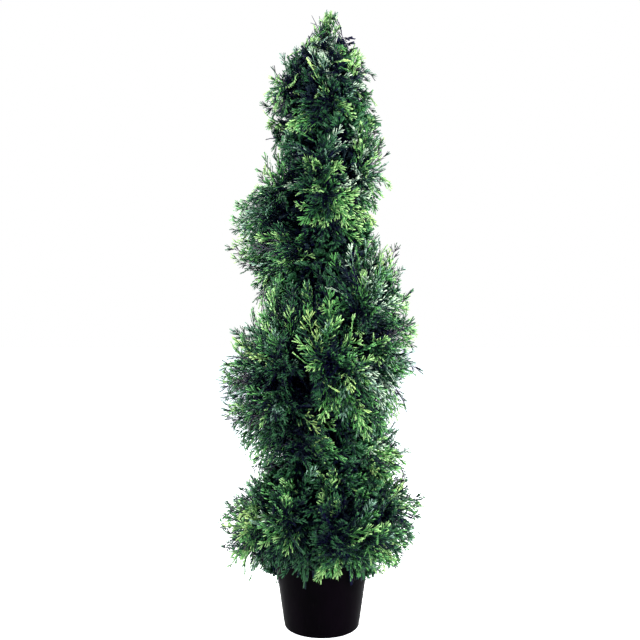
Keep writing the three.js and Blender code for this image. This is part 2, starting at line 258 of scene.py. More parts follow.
@dataclass(frozen=True)
class Bark:
    """The moulded bark of the pole and the boughs: dark brown, paler on its ridges, dull all over."""

    name: str = "moulded_bark"
    furrow: Colour = (0.010, 0.007, 0.005)
    ridge: Colour = (0.060, 0.040, 0.026)
    grain: float = 180.0
    relief: float = 0.0012

    def material(self) -> bpy.types.Material:
        """The bark as a material.

        Returns:
            The material: furrows along the stem, with paler, smoother ridges.
        """
        sheet = Sheet(self.name)
        fibres = sheet.spread(sheet.mottle(self.grain, 5, (1, 1, 0.16)), 0.35, 0.65)
        patches = sheet.spread(sheet.mottle(self.grain * 0.2, 3), 0.35, 0.65)
        tone = fibres * 0.7 + patches * 0.3
        bump = sheet.bump(fibres, self.relief, 0.8)
        return sheet.finish(
            {
                "Base Color": sheet.blend(tone, solid(self.furrow), solid(self.ridge)),
                "Roughness": 0.9 - tone * 0.2,
                "Normal": bump,
            }
        )


@dataclass(frozen=True)
class PotPlastic:
    """The pot's moulded plastic: near black with a purple cast, satin, a little scuffed towards the foot."""

    name: str = "pot_plastic"
    colour: Colour = (0.0003, 0.0002, 0.0004)
    cast: Colour = (0.0012, 0.0005, 0.0014)
    scuff: Colour = (0.0060, 0.0040, 0.0062)
    gloss: float = 0.006
    height: float = 0.162

    def material(self) -> bpy.types.Material:
        """The plastic as a material.

        Returns:
            The material: soft clouds and flow marks, with scuffs low on the wall.
        """
        sheet = Sheet(self.name)
        clouds = sheet.spread(sheet.mottle(14, 3), 0.35, 0.65)
        flow = sheet.spread(sheet.mottle(90, 4, (1, 1, 0.12)), 0.3, 0.7)
        low = 1.0 - sheet.spread(sheet.coordinate("Object", "Z"), 0.0, self.height * 0.35)
        specks = sheet.spread(sheet.mottle(420, 6), 0.60, 0.72)
        scuffs = specks * low * 0.5
        body = sheet.blend(clouds * 0.6 + flow * 0.2, solid(self.colour), solid(self.cast))
        grain = sheet.mottle(1500, 2)
        bump = sheet.bump(grain * 0.5 + flow * 0.5, 0.0002, 0.35)
        return sheet.finish(
            {
                "Base Color": sheet.blend(scuffs, body, solid(self.scuff)),
                "Roughness": 0.38 + flow * 0.10 + scuffs * 0.4,
                "Specular IOR Level": self.gloss,
                "Normal": bump,
            }
        )


@dataclass(frozen=True)
class SetFilling:
    """The pot's set filling: grey brown and gritty, darker where its relief is low."""

    name: str = "set_filling"
    hollow: Colour = (0.030, 0.022, 0.016)
    grit: Colour = (0.150, 0.125, 0.098)

    def material(self) -> bpy.types.Material:
        """The filling as a material.

        Returns:
            The material: coarse and fine grit in relief.
        """
        sheet = Sheet(self.name)
        coarse = sheet.spread(sheet.mottle(120, 5), 0.3, 0.7)
        fine = sheet.spread(sheet.mottle(700, 4), 0.3, 0.7)
        tone = coarse * 0.6 + fine * 0.4
        bump = sheet.bump(tone, 0.0015, 0.9)
        return sheet.finish(
            {
                "Base Color": sheet.blend(tone, solid(self.hollow), solid(self.grit)),
                "Roughness": 0.97 - fine * 0.12,
                "Normal": bump,
            }
        )


@dataclass(frozen=True)
class StudioPaper:
    """The plain pale paper that the plant stands on. It glows a little, as paper lit from below does."""

    name: str = "studio_paper"
    colour: Colour = (0.93, 0.93, 0.93)
    shade: Colour = (0.90, 0.90, 0.90)
    glow: float = 0.45

    def material(self) -> bpy.types.Material:
        """The paper as a material.

        Returns:
            The material: faint fibres and an even glow.
        """
        sheet = Sheet(self.name)
        fibres = sheet.mottle(30, 4)
        return sheet.finish(
            {
                "Base Color": sheet.blend(fibres, solid(self.colour), solid(self.shade)),
                "Roughness": 0.95,
                "Specular IOR Level": 0.1,
                "Emission Color": (1.0, 1.0, 1.0, 1.0),
                "Emission Strength": self.glow,
            }
        )


TINT_PLASTICS = {
    # leaf_shade is painted shade, a near-black navy. leaf_deep is the sprays' own dark green, with a blue
    # cast of painted shade.
    Tint.SHADE: SprayPlastic("leaf_shade", (0.0012, 0.0012, 0.0180), 0.7, 0.06),
    Tint.DEEP: SprayPlastic("leaf_deep", (0.0024, 0.0105, 0.0145), 0.6, 0.10),
    Tint.MID: SprayPlastic("leaf_mid", (0.0098, 0.0665, 0.0200), 0.5, 0.20),
    Tint.LEAF: SprayPlastic("leaf_green", (0.0540, 0.2140, 0.0420), 0.5, 0.35),
    Tint.FRESH: SprayPlastic("leaf_fresh", (0.2250, 0.4170, 0.1280), 0.5, 0.35),
    Tint.GOLD: SprayPlastic("leaf_gold", (0.3100, 0.4700, 0.1400), 0.5, 0.3),
    # leaf_teal and leaf_frost are the sprays' own blue-greens. They are worn oftener on the right as painted
    # sheen.
    Tint.TEAL: SprayPlastic("leaf_teal", (0.0920, 0.1850, 0.1280), 0.48, 0.45),
    Tint.FROST: SprayPlastic("leaf_frost", (0.3400, 0.4450, 0.3150), 0.45, 0.4),
    Tint.PLUM: SprayPlastic("leaf_plum", (0.0340, 0.0280, 0.0400), 0.6, 0.3),
}


def piece_from(
    name: str,
    points: Array,
    faces: Array,
    finishes: list[bpy.types.Material],
    slots: Array | None = None,
) -> bpy.types.Object:
    """Makes one object from joined arrays.

    Args:
        name: The piece's name.
        points: Its vertices, one row each.
        faces: Its triangles, as rows of three vertex numbers.
        finishes: Its materials, in the order of their slots.
        slots: The material slot of each triangle, or None where there is one.

    Returns:
        The object, linked to the scene at the origin.
    """
    mesh = bpy.data.meshes.new(name)
    for finish in finishes:
        mesh.materials.append(finish)
    mesh.vertices.add(len(points))
    mesh.vertices.foreach_set("co", points.astype(np.float32).ravel())
    mesh.loops.add(faces.size)
    mesh.loops.foreach_set("vertex_index", faces.astype(np.int32).ravel())
    mesh.polygons.add(len(faces))
    mesh.polygons.foreach_set("loop_start", np.arange(0, faces.size, 3, dtype=np.int32))
    if slots is not None:
        mesh.polygons.foreach_set("material_index", slots.astype(np.int32))
    mesh.update(calc_edges=True)
    return placed(name, mesh)


def placed(name: str, mesh: bpy.types.Mesh) -> bpy.types.Object:
    """Links a new object for a mesh to the scene, at the origin.

    Args:
        name: The object's name.
        mesh: Its mesh.

    Returns:
        The object.
    """
    piece = bpy.data.objects.new(name, mesh)
    bpy.context.scene.collection.objects.link(piece)
    return piece


def unit(vectors: Array) -> Array:
    """Vectors, one a row, at length 1."""
    return vectors / np.maximum(np.linalg.norm(vectors, axis=-1, keepdims=True), 1e-9)


def blend(first: Array, second: Array, share: Array) -> Array:
    """A straight mix of two arrays by a share from 0 to 1."""
    return first + (second - first) * share


def on_body(piece: bpy.types.Object, slot: str, *nodes: str) -> bpy.types.Object:
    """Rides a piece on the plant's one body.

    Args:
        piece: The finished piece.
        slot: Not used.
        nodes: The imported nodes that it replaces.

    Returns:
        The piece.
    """
    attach(piece, BODY)
    if nodes:
        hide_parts(*nodes)
    LOG.info("%s: %d faces", piece.name, len(piece.data.polygons))
    return piece


@dataclass(frozen=True)
class HalfTurn:
    """The driving sizes of one half turn of the spiral.

    bulge is the height of the widest place and reach its distance from the pole. seam is the height of the
    crease over it and waist the crease's radius. fullness rounds the underside and shoulder the upper side,
    from 1, straight, upwards.
    """

    bulge: float
    reach: float
    seam: float
    waist: float
    fullness: float
    shoulder: float


HALF_TURNS = {
    -2: HalfTurn(0.236, 0.214, 0.308, 0.145, 2.1, 1.5),
    -1: HalfTurn(0.218, 0.220, 0.302, 0.124, 2.0, 1.3),
    0: HalfTurn(0.356, 0.190, 0.429, 0.124, 1.5, 0.9),
    1: HalfTurn(0.496, 0.220, 0.622, 0.080, 1.4, 1.6),
    2: HalfTurn(0.588, 0.205, 0.808, 0.104, 2.0, 1.3),
    3: HalfTurn(0.808, 0.195, 0.917, 0.073, 1.9, 1.1),
    4: HalfTurn(0.900, 0.140, 1.012, 0.118, 1.2, 1.6),
    5: HalfTurn(1.042, 0.122, 1.106, 0.084, 1.8, 1.5),
    6: HalfTurn(1.080, 0.109, 1.128, 0.080, 2.0, 1.5),
}


@dataclass(frozen=True)
class Spiral:
    """The spiral's clipped outline. A turn number counts half turns round the pole, and even ones are on
    the right. A lift runs from -1 at the lower crease, through 0 at the bulge, to 1 at the upper crease."""

    hem_height: float = 0.096
    hem_radius: float = 0.116
    inner_radius: float = 0.017
    skirt_radius: float = 0.110
    front_fill: float = 0.68
    back_fill: float = 0.30
    fill_focus: float = 1.7
    hem_rise: float = 0.051
    hem_right: float = 0.010

    def along(self, size: str, turn: Array) -> Array:
        """A size of the half turns at any turn number, smoothly between the whole ones.

        Args:
            size: The name of a field of HalfTurn.
            turn: Turn numbers.

        Returns:
            The size at each of them.
        """
        sizes = np.array([getattr(half, size) for half in HALF_TURNS.values()])
        lowest = min(HALF_TURNS)
        start = np.floor(turn).astype(int)
        reads = [sizes[np.clip(start + step - lowest, 0, len(sizes) - 1)] for step in (-1, 0, 1, 2)]
        before, low, high, after = reads
        t = turn - start
        rise_in = (high - before) / 2
        rise_out = (after - low) / 2
        falling = (2 * t - 3) * t * t + 1
        return (
            falling * low
            + (t - 2 * t * t + t**3) * rise_in
            + (1 - falling) * high
            + (t**3 - t * t) * rise_out
        )

    def lower_edge(self, turn: Array) -> tuple[Array, Array]:
        """Radius and height of the crease over the turn below, or of the hem where there is none.

        Args:
            turn: Turn numbers.

        Returns:
            The radii and the heights.
        """
        below = turn - 2
        hem = below < min(HALF_TURNS) - 0.5
        front = np.maximum(0, -np.sin(np.pi * turn))
        right = np.maximum(0, np.cos(np.pi * turn))
        hem_height = self.hem_height + self.hem_rise * front + self.hem_right * right
        radius = np.where(hem, self.hem_radius, self.crease(below))
        return radius, np.where(hem, hem_height, self.along("seam", below))

    def crease(self, turn: Array) -> Array:
        """The radius of the crease over a turn. Sprays part fill it in front and a little behind.

        Args:
            turn: Turn numbers.

        Returns:
            The radius over each.
        """
        waist = self.along("waist", turn)
        full = (self.along("reach", turn) + self.along("reach", turn + 2)) / 2
        depth = np.sin(np.pi * turn)
        fill = np.where(depth < 0, self.front_fill, self.back_fill)
        return blend(waist, full, fill * np.abs(depth) ** self.fill_focus)

    def outline(self, turn: Array, lift: Array) -> tuple[Array, Array]:
        """Radius from the axis and height of the outline.

        Args:
            turn: Turn numbers.
            lift: Lifts, as many.

        Returns:
            The radii and the heights.
        """
        low_radius, low_height = self.lower_edge(turn)
        upper = lift > 0
        edge_radius = np.where(upper, self.crease(turn), low_radius)
        edge_height = np.where(upper, self.along("seam", turn), low_height)
        share = np.sin(np.pi / 2 * np.abs(lift))
        fullness = np.where(upper, self.along("shoulder", turn), self.along("fullness", turn))
        kept = np.maximum(0, 1 - share**fullness) ** (1 / fullness)
        radius = edge_radius + (self.along("reach", turn) - edge_radius) * kept
        return radius, blend(self.along("bulge", turn), edge_height, share)

    def inner(self, turn: Array, lift: Array) -> Array:
        """Where the foliage begins, off the pole, or outside the pot where the skirt hangs over it."""
        hang = np.where(turn < -0.5, self.skirt_radius - self.inner_radius, 0.0)
        return self.inner_radius + hang * np.maximum(0, -lift)

    def lean(self, points: Array) -> Array:
        """Points with the lean of this mass, which for the spiral is none."""
        return points


@dataclass(frozen=True)
class Crown(Spiral):
    """The outline of the crown, which narrows to a leader that leans a little to the right."""

    bulge: float = 1.126
    reach: float = 0.084
    foot: float = 1.104
    foot_radius: float = 0.080
    top: float = 1.220
    crown_fullness: float = 1.2
    tip_fullness: float = 0.84
    leader_lean: float = 0.017
    lean_from: float = 1.125

    def outline(self, turn: Array, lift: Array) -> tuple[Array, Array]:
        """Radius from the axis and height of the outline, as for the spiral.

        Args:
            turn: Turn numbers.
            lift: Lifts, as many.

        Returns:
            The radii and the heights.
        """
        upper = lift > 0
        share = np.sin(np.pi / 2 * np.abs(lift))
        fullness = np.where(upper, self.tip_fullness, self.crown_fullness)
        kept = np.maximum(0, 1 - share**fullness) ** (1 / fullness)
        foot = np.maximum(self.foot, self.along("seam", turn - 2))
        edge_radius = np.where(upper, 0.0, self.foot_radius)
        edge_height = np.where(upper, self.top, foot)
        return edge_radius + (self.reach - edge_radius) * kept, blend(self.bulge, edge_height, share)

    def inner(self, turn: Array, lift: Array) -> Array:
        """The crown closes over the pole's tip."""
        return np.full_like(lift, 0.003)

    def lean(self, points: Array) -> Array:
        """Points with the lean of the leader, which begins a little under the crown's bulge.

        Args:
            points: Points of the upright crown.

        Returns:
            The same points, leaned.
        """
        leaned = points.copy()
        rise = np.maximum(0, (points[..., 2] - self.lean_from) / (self.top - self.lean_from))
        leaned[..., 0] += self.leader_lean * rise
        return leaned


def place_at(turn: Array, radius: Array, height: Array) -> Array:
    """Points at turn numbers round the pole, a radius from it and a height."""
    return np.stack([np.cos(np.pi * turn) * radius, np.sin(np.pi * turn) * radius, height], -1)


FINGER_FACES = np.array([[0, 1, 2], [0, 3, 1], [0, 2, 3], [1, 3, 2]])


@dataclass
class SprayPattern:
    """One moulded spray, drawn flat along +X. Side stems leave its midrib left and right by turns, and each
    carries blunt fingers of leaf. A finger is a closed strap of four faces with a twist along it, and so is
    each half of a side stem."""

    length: float
    side_stems: int
    seed: int
    leaf_length: float = 0.0130
    leaf_width: float = 0.0021
    stem_width: float = 0.0018
    spread_angle: float = 0.58
    leaf_gap: float = 0.0090
    twist: float = 0.85
    taper: float = 0.75
    stem_start: float = 0.08
    stem_span: float = 0.76
    knee_share: float = 0.55
    end_share: float = 0.45
    bare_share: float = 0.44
    dull_share: float = 0.45
    tip_leaves: tuple[Pair, ...] = ((0.80, 0.44), (0.86, -0.40), (0.90, 0.30), (0.92, -0.06))
    points: Array = field(init=False)
    faces: Array = field(init=False)
    tiers: Array = field(init=False)

    def __post_init__(self) -> None:
        """Draws the spray."""
        rng = np.random.default_rng(self.seed)
        fingers = [finger for number in range(self.side_stems) for finger in self._side_stem(number, rng)]
        fingers += self._tip(rng)
        base, tip, width, tier = (np.array(column) for column in zip(*fingers))
        self._join(base, tip, width)
        self.tiers = np.repeat(tier, len(FINGER_FACES))

    def _side_stem(self, number: int, rng: np.random.Generator) -> list[Finger]:
        """One side stem with its leaves.

        Args:
            number: Which one, from the root.
            rng: The pattern's random stream.

        Returns:
            Its fingers, each as base, tip, width and tier.
        """
        run = self.stem_span * (number + rng.uniform(-0.25, 0.25))
        share = self.stem_start + run / (self.side_stems - 1)
        side = 1 if number % 2 else -1
        full = min(1.0, (share + 0.16) / 0.34) * (1 - share) ** 0.8
        reach = self.length * (0.02 + 0.32 * full) * rng.uniform(0.7, 1.2)
        start = np.array([self.length * share, 0.0, 0.0])
        angle = self.spread_angle * rng.uniform(0.85, 1.12)
        rise = rng.uniform(-0.14, 0.14)
        end_angle = angle - rng.uniform(0.12, 0.32)
        knee = start + self.knee_share * reach * self._heading(angle, side, rise)
        end = knee + self.end_share * reach * self._heading(end_angle, side, rise)
        # Stems and leaves low on the spray take the darkest tier, and the tips the lightest. The lighter tips
        # are the spray's own colour. The dark inner part is partly the spray's own darker green and partly
        # painted shade deep in the spray.
        dark_inner = share < self.bare_share
        stem_tier = 0 if dark_inner else 1
        fingers = [(start, knee, self.stem_width, stem_tier), (knee, end, self.stem_width * 0.9, stem_tier)]
        count = max(2, round(reach / self.leaf_gap))
        for leaf in range(count):
            along = 0.16 + 0.72 * (leaf + 0.5 * rng.uniform(0.5, 1.5)) / count
            if along < self.knee_share:
                base = blend(start, knee, along / self.knee_share)
                stem_angle = angle
            else:
                base = blend(knee, end, (along - self.knee_share) / self.end_share)
                stem_angle = end_angle
            turn = (0.36 if leaf % 2 else -0.44) * rng.uniform(0.7, 1.2)
            heading = self._heading(stem_angle + turn, side, rise + rng.uniform(-0.2, 0.2))
            size = self.leaf_length * rng.uniform(0.65, 1.15) * (1.0 - 0.25 * along)
            tier = 0 if dark_inner else 1 if along < 0.5 else 2
            tier = max(0, tier - int(rng.random() < self.dull_share))
            fingers.append((base, base + size * heading, self._width(rng), tier))
        heading = self._heading(end_angle, side, rise)
        tip = end + 0.75 * self.leaf_length * heading
        fingers.append((end - 0.002 * heading, tip, self._width(rng), 1 if dark_inner else 2))
        return fingers

    def _tip(self, rng: np.random.Generator) -> list[Finger]:
        """The leaves that end the midrib, as fingers.

        Args:
            rng: The pattern's random stream.

        Returns:
            The fingers, as for a side stem.
        """
        fingers = []
        for along, turn in self.tip_leaves:
            base = np.array([self.length * along, 0.0, 0.0])
            heading = self._heading(turn, 1, rng.uniform(-0.1, 0.1))
            size = self.leaf_length * rng.uniform(0.7, 1.1)
            fingers.append((base, base + size * heading, self._width(rng), 2))
        return fingers

    def _heading(self, angle: float, side: int, rise: float) -> Array:
        """A direction at an angle from the midrib to one side, rising out of the spray's plane."""
        flat = math.cos(rise)
        return np.array([math.cos(angle) * flat, side * math.sin(angle) * flat, math.sin(rise)])

    def _width(self, rng: np.random.Generator) -> float:
        """The width of the next leaf."""
        return self.leaf_width * rng.uniform(0.85, 1.15)

    def _join(self, base: Array, tip: Array, width: Array) -> None:
        """Joins the fingers into the pattern's arrays.

        Args:
            base: Where each finger starts.
            tip: Where it ends.
            width: How wide it is.
        """
        axis = tip - base
        side = unit(np.cross([0.0, 0.0, 1.0], axis))
        face = unit(np.cross(axis, side))
        turned = np.where(np.arange(len(base)) % 2, self.twist, -self.twist)[:, None]
        near = side * (self.taper * width / 2)[:, None]
        far = (side * np.cos(turned) + face * np.sin(turned)) * (np.sign(turned) * width[:, None] / 2)
        self.points = np.stack([base - near, base + near, tip - far, tip + far], 1).reshape(-1, 3)
        first = 4 * np.arange(len(base))
        self.faces = (first[:, None, None] + FINGER_FACES).reshape(-1, 3)


@dataclass
class Planting:
    """Where the sprays of a mass stand, one row a spray."""

    tuft: Array
    root: Array
    tip: Array
    face: Array
    bow: Array
    sway: Array
    dress: Array

    def rows(self, chosen: Array) -> "Planting":
        """The sprays of some rows only."""
        return Planting(**{name: column[chosen] for name, column in vars(self).items()})

    def with_more(self, others: "Planting") -> "Planting":
        """These sprays and others after them."""
        pairs = zip(vars(self).values(), vars(others).values())
        return Planting(*(np.concatenate(pair) for pair in pairs))

    def axes(self) -> tuple[Array, Array, Array, Array]:
        """Length, and the directions of the midrib, the width and the flat side, of each spray.

        Returns:
            The lengths and the three sets of directions.
        """
        run = self.tip - self.root
        length = np.linalg.norm(run, axis=-1)
        ahead = unit(run)
        side = unit(np.cross(self.face, ahead))
        return length, ahead, side, np.cross(ahead, side)

    def rib_points(self, shares: Array) -> Array:
        """Points along each midrib, which bows and sways between its ends.

        Args:
            shares: How far along, from 0 to 1.

        Returns:
            An array of sprays by shares by 3.
        """
        length, ahead, side, out = self.axes()
        arch = 4 * shares * (1 - shares)
        straight = self.root[:, None] + (length[:, None] * shares)[..., None] * ahead[:, None]
        bowed = (self.bow * length)[:, None, None] * arch[:, None] * out[:, None]
        swayed = (self.sway * length)[:, None, None] * arch[:, None] * side[:, None]
        return straight + bowed + swayed

    def dressed_with(self, pattern: SprayPattern) -> Array:
        """A pattern's points at each spray, as an array of sprays by points by 3.

        Args:
            pattern: The pattern, which is drawn out to each spray's length.

        Returns:
            The points.
        """
        length, ahead, side, out = self.axes()
        scale = (length / pattern.length)[:, None, None]
        middle = self.rib_points(pattern.points[:, 0] / pattern.length)
        across = pattern.points[:, 1][:, None] * side[:, None]
        above = pattern.points[:, 2][:, None] * out[:, None]
        return middle + scale * (across + above)


@dataclass
class Tubes:
    """Many tapering tubes of the same build, joined: a ring of corners at each point of each path."""

    corners: int

    def arrays(self, paths: Array, radii: Array, upright: Array) -> tuple[Array, Array]:
        """Builds closed tubes.

        Args:
            paths: Points of the middle lines, tubes by points by 3.
            radii: The radius at each point, tubes by points.
            upright: For each tube, a direction that isn't along it.

        Returns:
            The joined vertices and triangles.
        """
        count, stops = paths.shape[:2]
        ahead = unit(np.gradient(paths, axis=1))
        side = unit(np.cross(upright[:, None], ahead))
        out = np.cross(ahead, side)
        angle = 2 * np.pi * np.arange(self.corners) / self.corners
        spokes = np.cos(angle)[:, None] * side[:, :, None] + np.sin(angle)[:, None] * out[:, :, None]
        rings = paths[:, :, None] + radii[:, :, None, None] * spokes
        first = np.arange(count)[:, None, None] * (stops * self.corners)
        return rings.reshape(-1, 3), (first + self._faces(stops)).reshape(-1, 3)

    def _faces(self, stops: int) -> Array:
        """The triangles of one tube with a cap at each end.

        Args:
            stops: How many rings of corners the tube has.

        Returns:
            The triangles, ring after ring, and the caps' last.
        """
        corner = np.arange(self.corners)
        after = (corner + 1) % self.corners
        ring = self.corners * np.arange(stops - 1)[:, None]
        a, b = ring + corner, ring + after
        c, d = a + self.corners, b + self.corners
        walls = np.stack([np.stack([a, b, c], -1), np.stack([b, d, c], -1)], 2).reshape(-1, 3)
        fan = np.stack([np.zeros(self.corners - 2, int), corner[1:-1], corner[2:]], -1)
        last = self.corners * (stops - 1)
        return np.concatenate([walls, fan[:, ::-1], fan + last])


@dataclass(frozen=True)
class PotRoom:
    """The room that foliage leaves for the pot: outside its wall, round its lip and over its mouth."""

    foot_radius: float = 0.077
    lip_radius: float = 0.1045
    lip_foot: float = 0.148
    top: float = 0.1655
    mouth: float = 0.088

    def keep_clear(self, points: Array) -> Array:
        """Points with those inside the room moved to its side, or to its top over the pot's mouth.

        Args:
            points: Points of leaves or twigs.

        Returns:
            The points, clear of the pot.
        """
        radius = np.hypot(points[..., 0], points[..., 1])
        height = points[..., 2]
        wall = np.interp(height, [0, self.lip_foot], [self.foot_radius, self.lip_radius])
        inside = (radius < wall) & (height < self.top)
        beside = inside & (radius > self.mouth)
        cleared = points.copy()
        grow = np.where(beside, wall / np.maximum(radius, 1e-6), 1.0)
        cleared[..., 0] *= grow
        cleared[..., 1] *= grow
        cleared[..., 2] = np.where(inside & ~beside, self.top, height)
        return cleared


@dataclass(frozen=True)
class Accent:
    """A place on the plant's front where the sprays wear one dress, by its x, height and radius."""

    x: float
    z: float
    radius: float
    dress: Dress


@dataclass(frozen=True)
class Boughs:
    """How boughs arch from the pole to their ends. Those that end low rise over the pot's lip on the way."""

    low: float = 0.185
    low_start: float = 0.196
    low_knee: float = 0.222
    lowest: float = 0.160
    first_radius: float = 0.006
    start_drop: float = 0.30
    knee_drop: float = 0.06
    knee_share: float = 0.55
    over_lip: float = 0.004
    knobs: float = 0.12
    thickness: Pair = (0.0038, 0.0016)

    def arrays(self, ends: Array, spiral: Spiral, rng: np.random.Generator) -> tuple[Array, Array]:
        """Builds the boughs of one mass.

        Args:
            ends: Where they end, one a row.
            spiral: The mass's outline, whose lean they share.
            rng: The mass's random stream.

        Returns:
            The joined vertices and triangles.
        """
        radius = np.hypot(ends[:, 0], ends[:, 1])
        around = np.arctan2(ends[:, 1], ends[:, 0]) / np.pi
        low = ends[:, 2] < self.low
        start_height = np.where(low, self.low_start, ends[:, 2] - self.start_drop * radius)
        start_height = np.maximum(start_height, self.lowest)
        start = place_at(around, np.full_like(radius, self.first_radius), start_height)
        knee_height = np.where(low, self.low_knee, ends[:, 2] - self.knee_drop * radius)
        knee = place_at(around, np.where(low, radius + self.over_lip, self.knee_share * radius), knee_height)
        t = np.linspace(0, 1, 9)[None, :, None]
        paths = (1 - t) ** 2 * start[:, None] + 2 * t * (1 - t) * knee[:, None] + t * t * ends[:, None]
        knobs = 1 + self.knobs * rng.uniform(-1, 1, paths.shape[:2])
        radii = knobs * np.linspace(*self.thickness, paths.shape[1])
        upright = unit(np.cross(ends - start, [0.0, 0.0, 1.0]) + 1e-4)
        return Tubes(6).arrays(spiral.lean(paths), radii, upright)


# Read in this order, so a later accent shows over an earlier one. The DARK and NIGHT accents are painted
# shade. The paler ones are partly the sprays' own yellow-green and blue-green, and partly painted light.
ACCENTS = tuple(
    Accent(*row)
    for row in (
        (0.018, 0.800, 0.024, Dress.DARK), (0.018, 0.710, 0.036, Dress.DARK),
        (-0.035, 0.700, 0.030, Dress.DARK), (-0.108, 0.480, 0.024, Dress.DARK),
        (-0.108, 0.225, 0.024, Dress.DARK), (-0.030, 0.185, 0.040, Dress.DARK),
        (0.035, 0.185, 0.034, Dress.DARK), (0.005, 0.185, 0.026, Dress.NIGHT),
        (-0.045, 0.185, 0.020, Dress.NIGHT), (0.010, 0.172, 0.050, Dress.DARK),
        (-0.055, 0.174, 0.042, Dress.DARK), (-0.030, 0.705, 0.018, Dress.NIGHT),
        (0.040, 0.705, 0.016, Dress.NIGHT), (-0.022, 0.955, 0.018, Dress.NIGHT),
        (0.012, 1.200, 0.030, Dress.PALE), (0.012, 1.160, 0.036, Dress.PALE),
        (-0.040, 1.150, 0.036, Dress.LEAFY), (0.075, 1.112, 0.028, Dress.LEAFY),
        (0.020, 1.100, 0.028, Dress.PALE), (-0.072, 1.055, 0.026, Dress.LEAFY),
        (0.066, 1.055, 0.026, Dress.PALE), (-0.026, 1.077, 0.020, Dress.YOUNG),
        (0.066, 0.990, 0.026, Dress.LEAFY), (0.056, 0.958, 0.026, Dress.PALE),
        (0.046, 0.900, 0.026, Dress.LEAFY), (-0.029, 0.903, 0.026, Dress.LEAFY),
        (-0.045, 0.838, 0.026, Dress.LEAFY), (0.047, 0.833, 0.024, Dress.LEAFY),
        (0.085, 0.870, 0.036, Dress.PALE), (0.058, 0.800, 0.036, Dress.LEAFY),
        (-0.008, 0.786, 0.014, Dress.YOUNG), (-0.036, 0.716, 0.020, Dress.LEAFY),
        (-0.031, 0.641, 0.020, Dress.YOUNG), (-0.020, 0.609, 0.020, Dress.YOUNG),
        (0.055, 0.581, 0.018, Dress.LEAFY), (-0.172, 0.556, 0.026, Dress.YOUNG),
        (-0.070, 0.560, 0.026, Dress.LEAFY), (0.100, 0.520, 0.032, Dress.LEAFY),
        (0.105, 0.565, 0.026, Dress.LEAFY), (0.053, 0.497, 0.018, Dress.YOUNG),
        (0.125, 0.480, 0.036, Dress.PALE), (0.016, 0.440, 0.020, Dress.LEAFY),
        (-0.002, 0.393, 0.014, Dress.YOUNG), (0.075, 0.315, 0.020, Dress.LEAFY),
        (0.027, 0.299, 0.009, Dress.LEAFY), (-0.178, 0.226, 0.028, Dress.YOUNG),
        (0.080, 0.230, 0.018, Dress.LEAFY), (-0.008, 0.166, 0.011, Dress.LEAFY),
        (-0.044, 0.128, 0.016, Dress.YOUNG),
    )
)


# The dark hollows between the tufts in front, each as its x, y, height and radius. Sprays are thinned out
# round each, and those left there wear the dark dresses as painted shade.
HOLLOWS = np.array(
    [
        (-0.016, -0.115, 1.047, 0.023), (-0.018, -0.117, 1.004, 0.031), (0.024, -0.115, 1.008, 0.023),
        (-0.053, -0.106, 1.020, 0.023), (-0.025, -0.138, 0.947, 0.038), (0.035, -0.145, 0.933, 0.023),
        (-0.005, -0.159, 0.902, 0.021), (-0.019, -0.168, 0.821, 0.028), (0.013, -0.165, 0.825, 0.028),
        (-0.073, -0.156, 0.783, 0.036), (-0.014, -0.163, 0.743, 0.028), (-0.115, -0.122, 0.734, 0.021),
        (-0.062, -0.170, 0.677, 0.023), (-0.019, -0.188, 0.667, 0.026), (-0.034, -0.204, 0.586, 0.033),
        (0.025, -0.207, 0.571, 0.031), (-0.117, -0.186, 0.534, 0.033), (-0.019, -0.211, 0.537, 0.026),
        (-0.041, -0.207, 0.479, 0.041), (-0.029, -0.205, 0.445, 0.036), (-0.022, -0.201, 0.409, 0.031),
        (-0.062, -0.191, 0.396, 0.026), (-0.022, -0.194, 0.375, 0.031), (-0.052, -0.180, 0.346, 0.033),
        (0.070, -0.170, 0.334, 0.023), (-0.089, -0.182, 0.276, 0.021), (-0.019, -0.198, 0.284, 0.038),
        (0.037, -0.207, 0.265, 0.028), (-0.041, -0.194, 0.231, 0.038), (0.009, -0.214, 0.234, 0.028),
        (-0.056, -0.176, 0.181, 0.033), (-0.008, -0.178, 0.186, 0.033), (0.060, -0.185, 0.648, 0.023),
        (0.016, -0.210, 0.526, 0.023), (0.037, -0.183, 0.185, 0.031), (-0.024, -0.184, 0.692, 0.026),
        (0.022, -0.184, 0.697, 0.023), (-0.066, -0.151, 0.703, 0.023), (-0.032, -0.204, 0.621, 0.023),
        (0.034, -0.193, 0.312, 0.026), (-0.105, -0.180, 0.267, 0.023), (-0.103, -0.182, 0.229, 0.021),
    ]
)


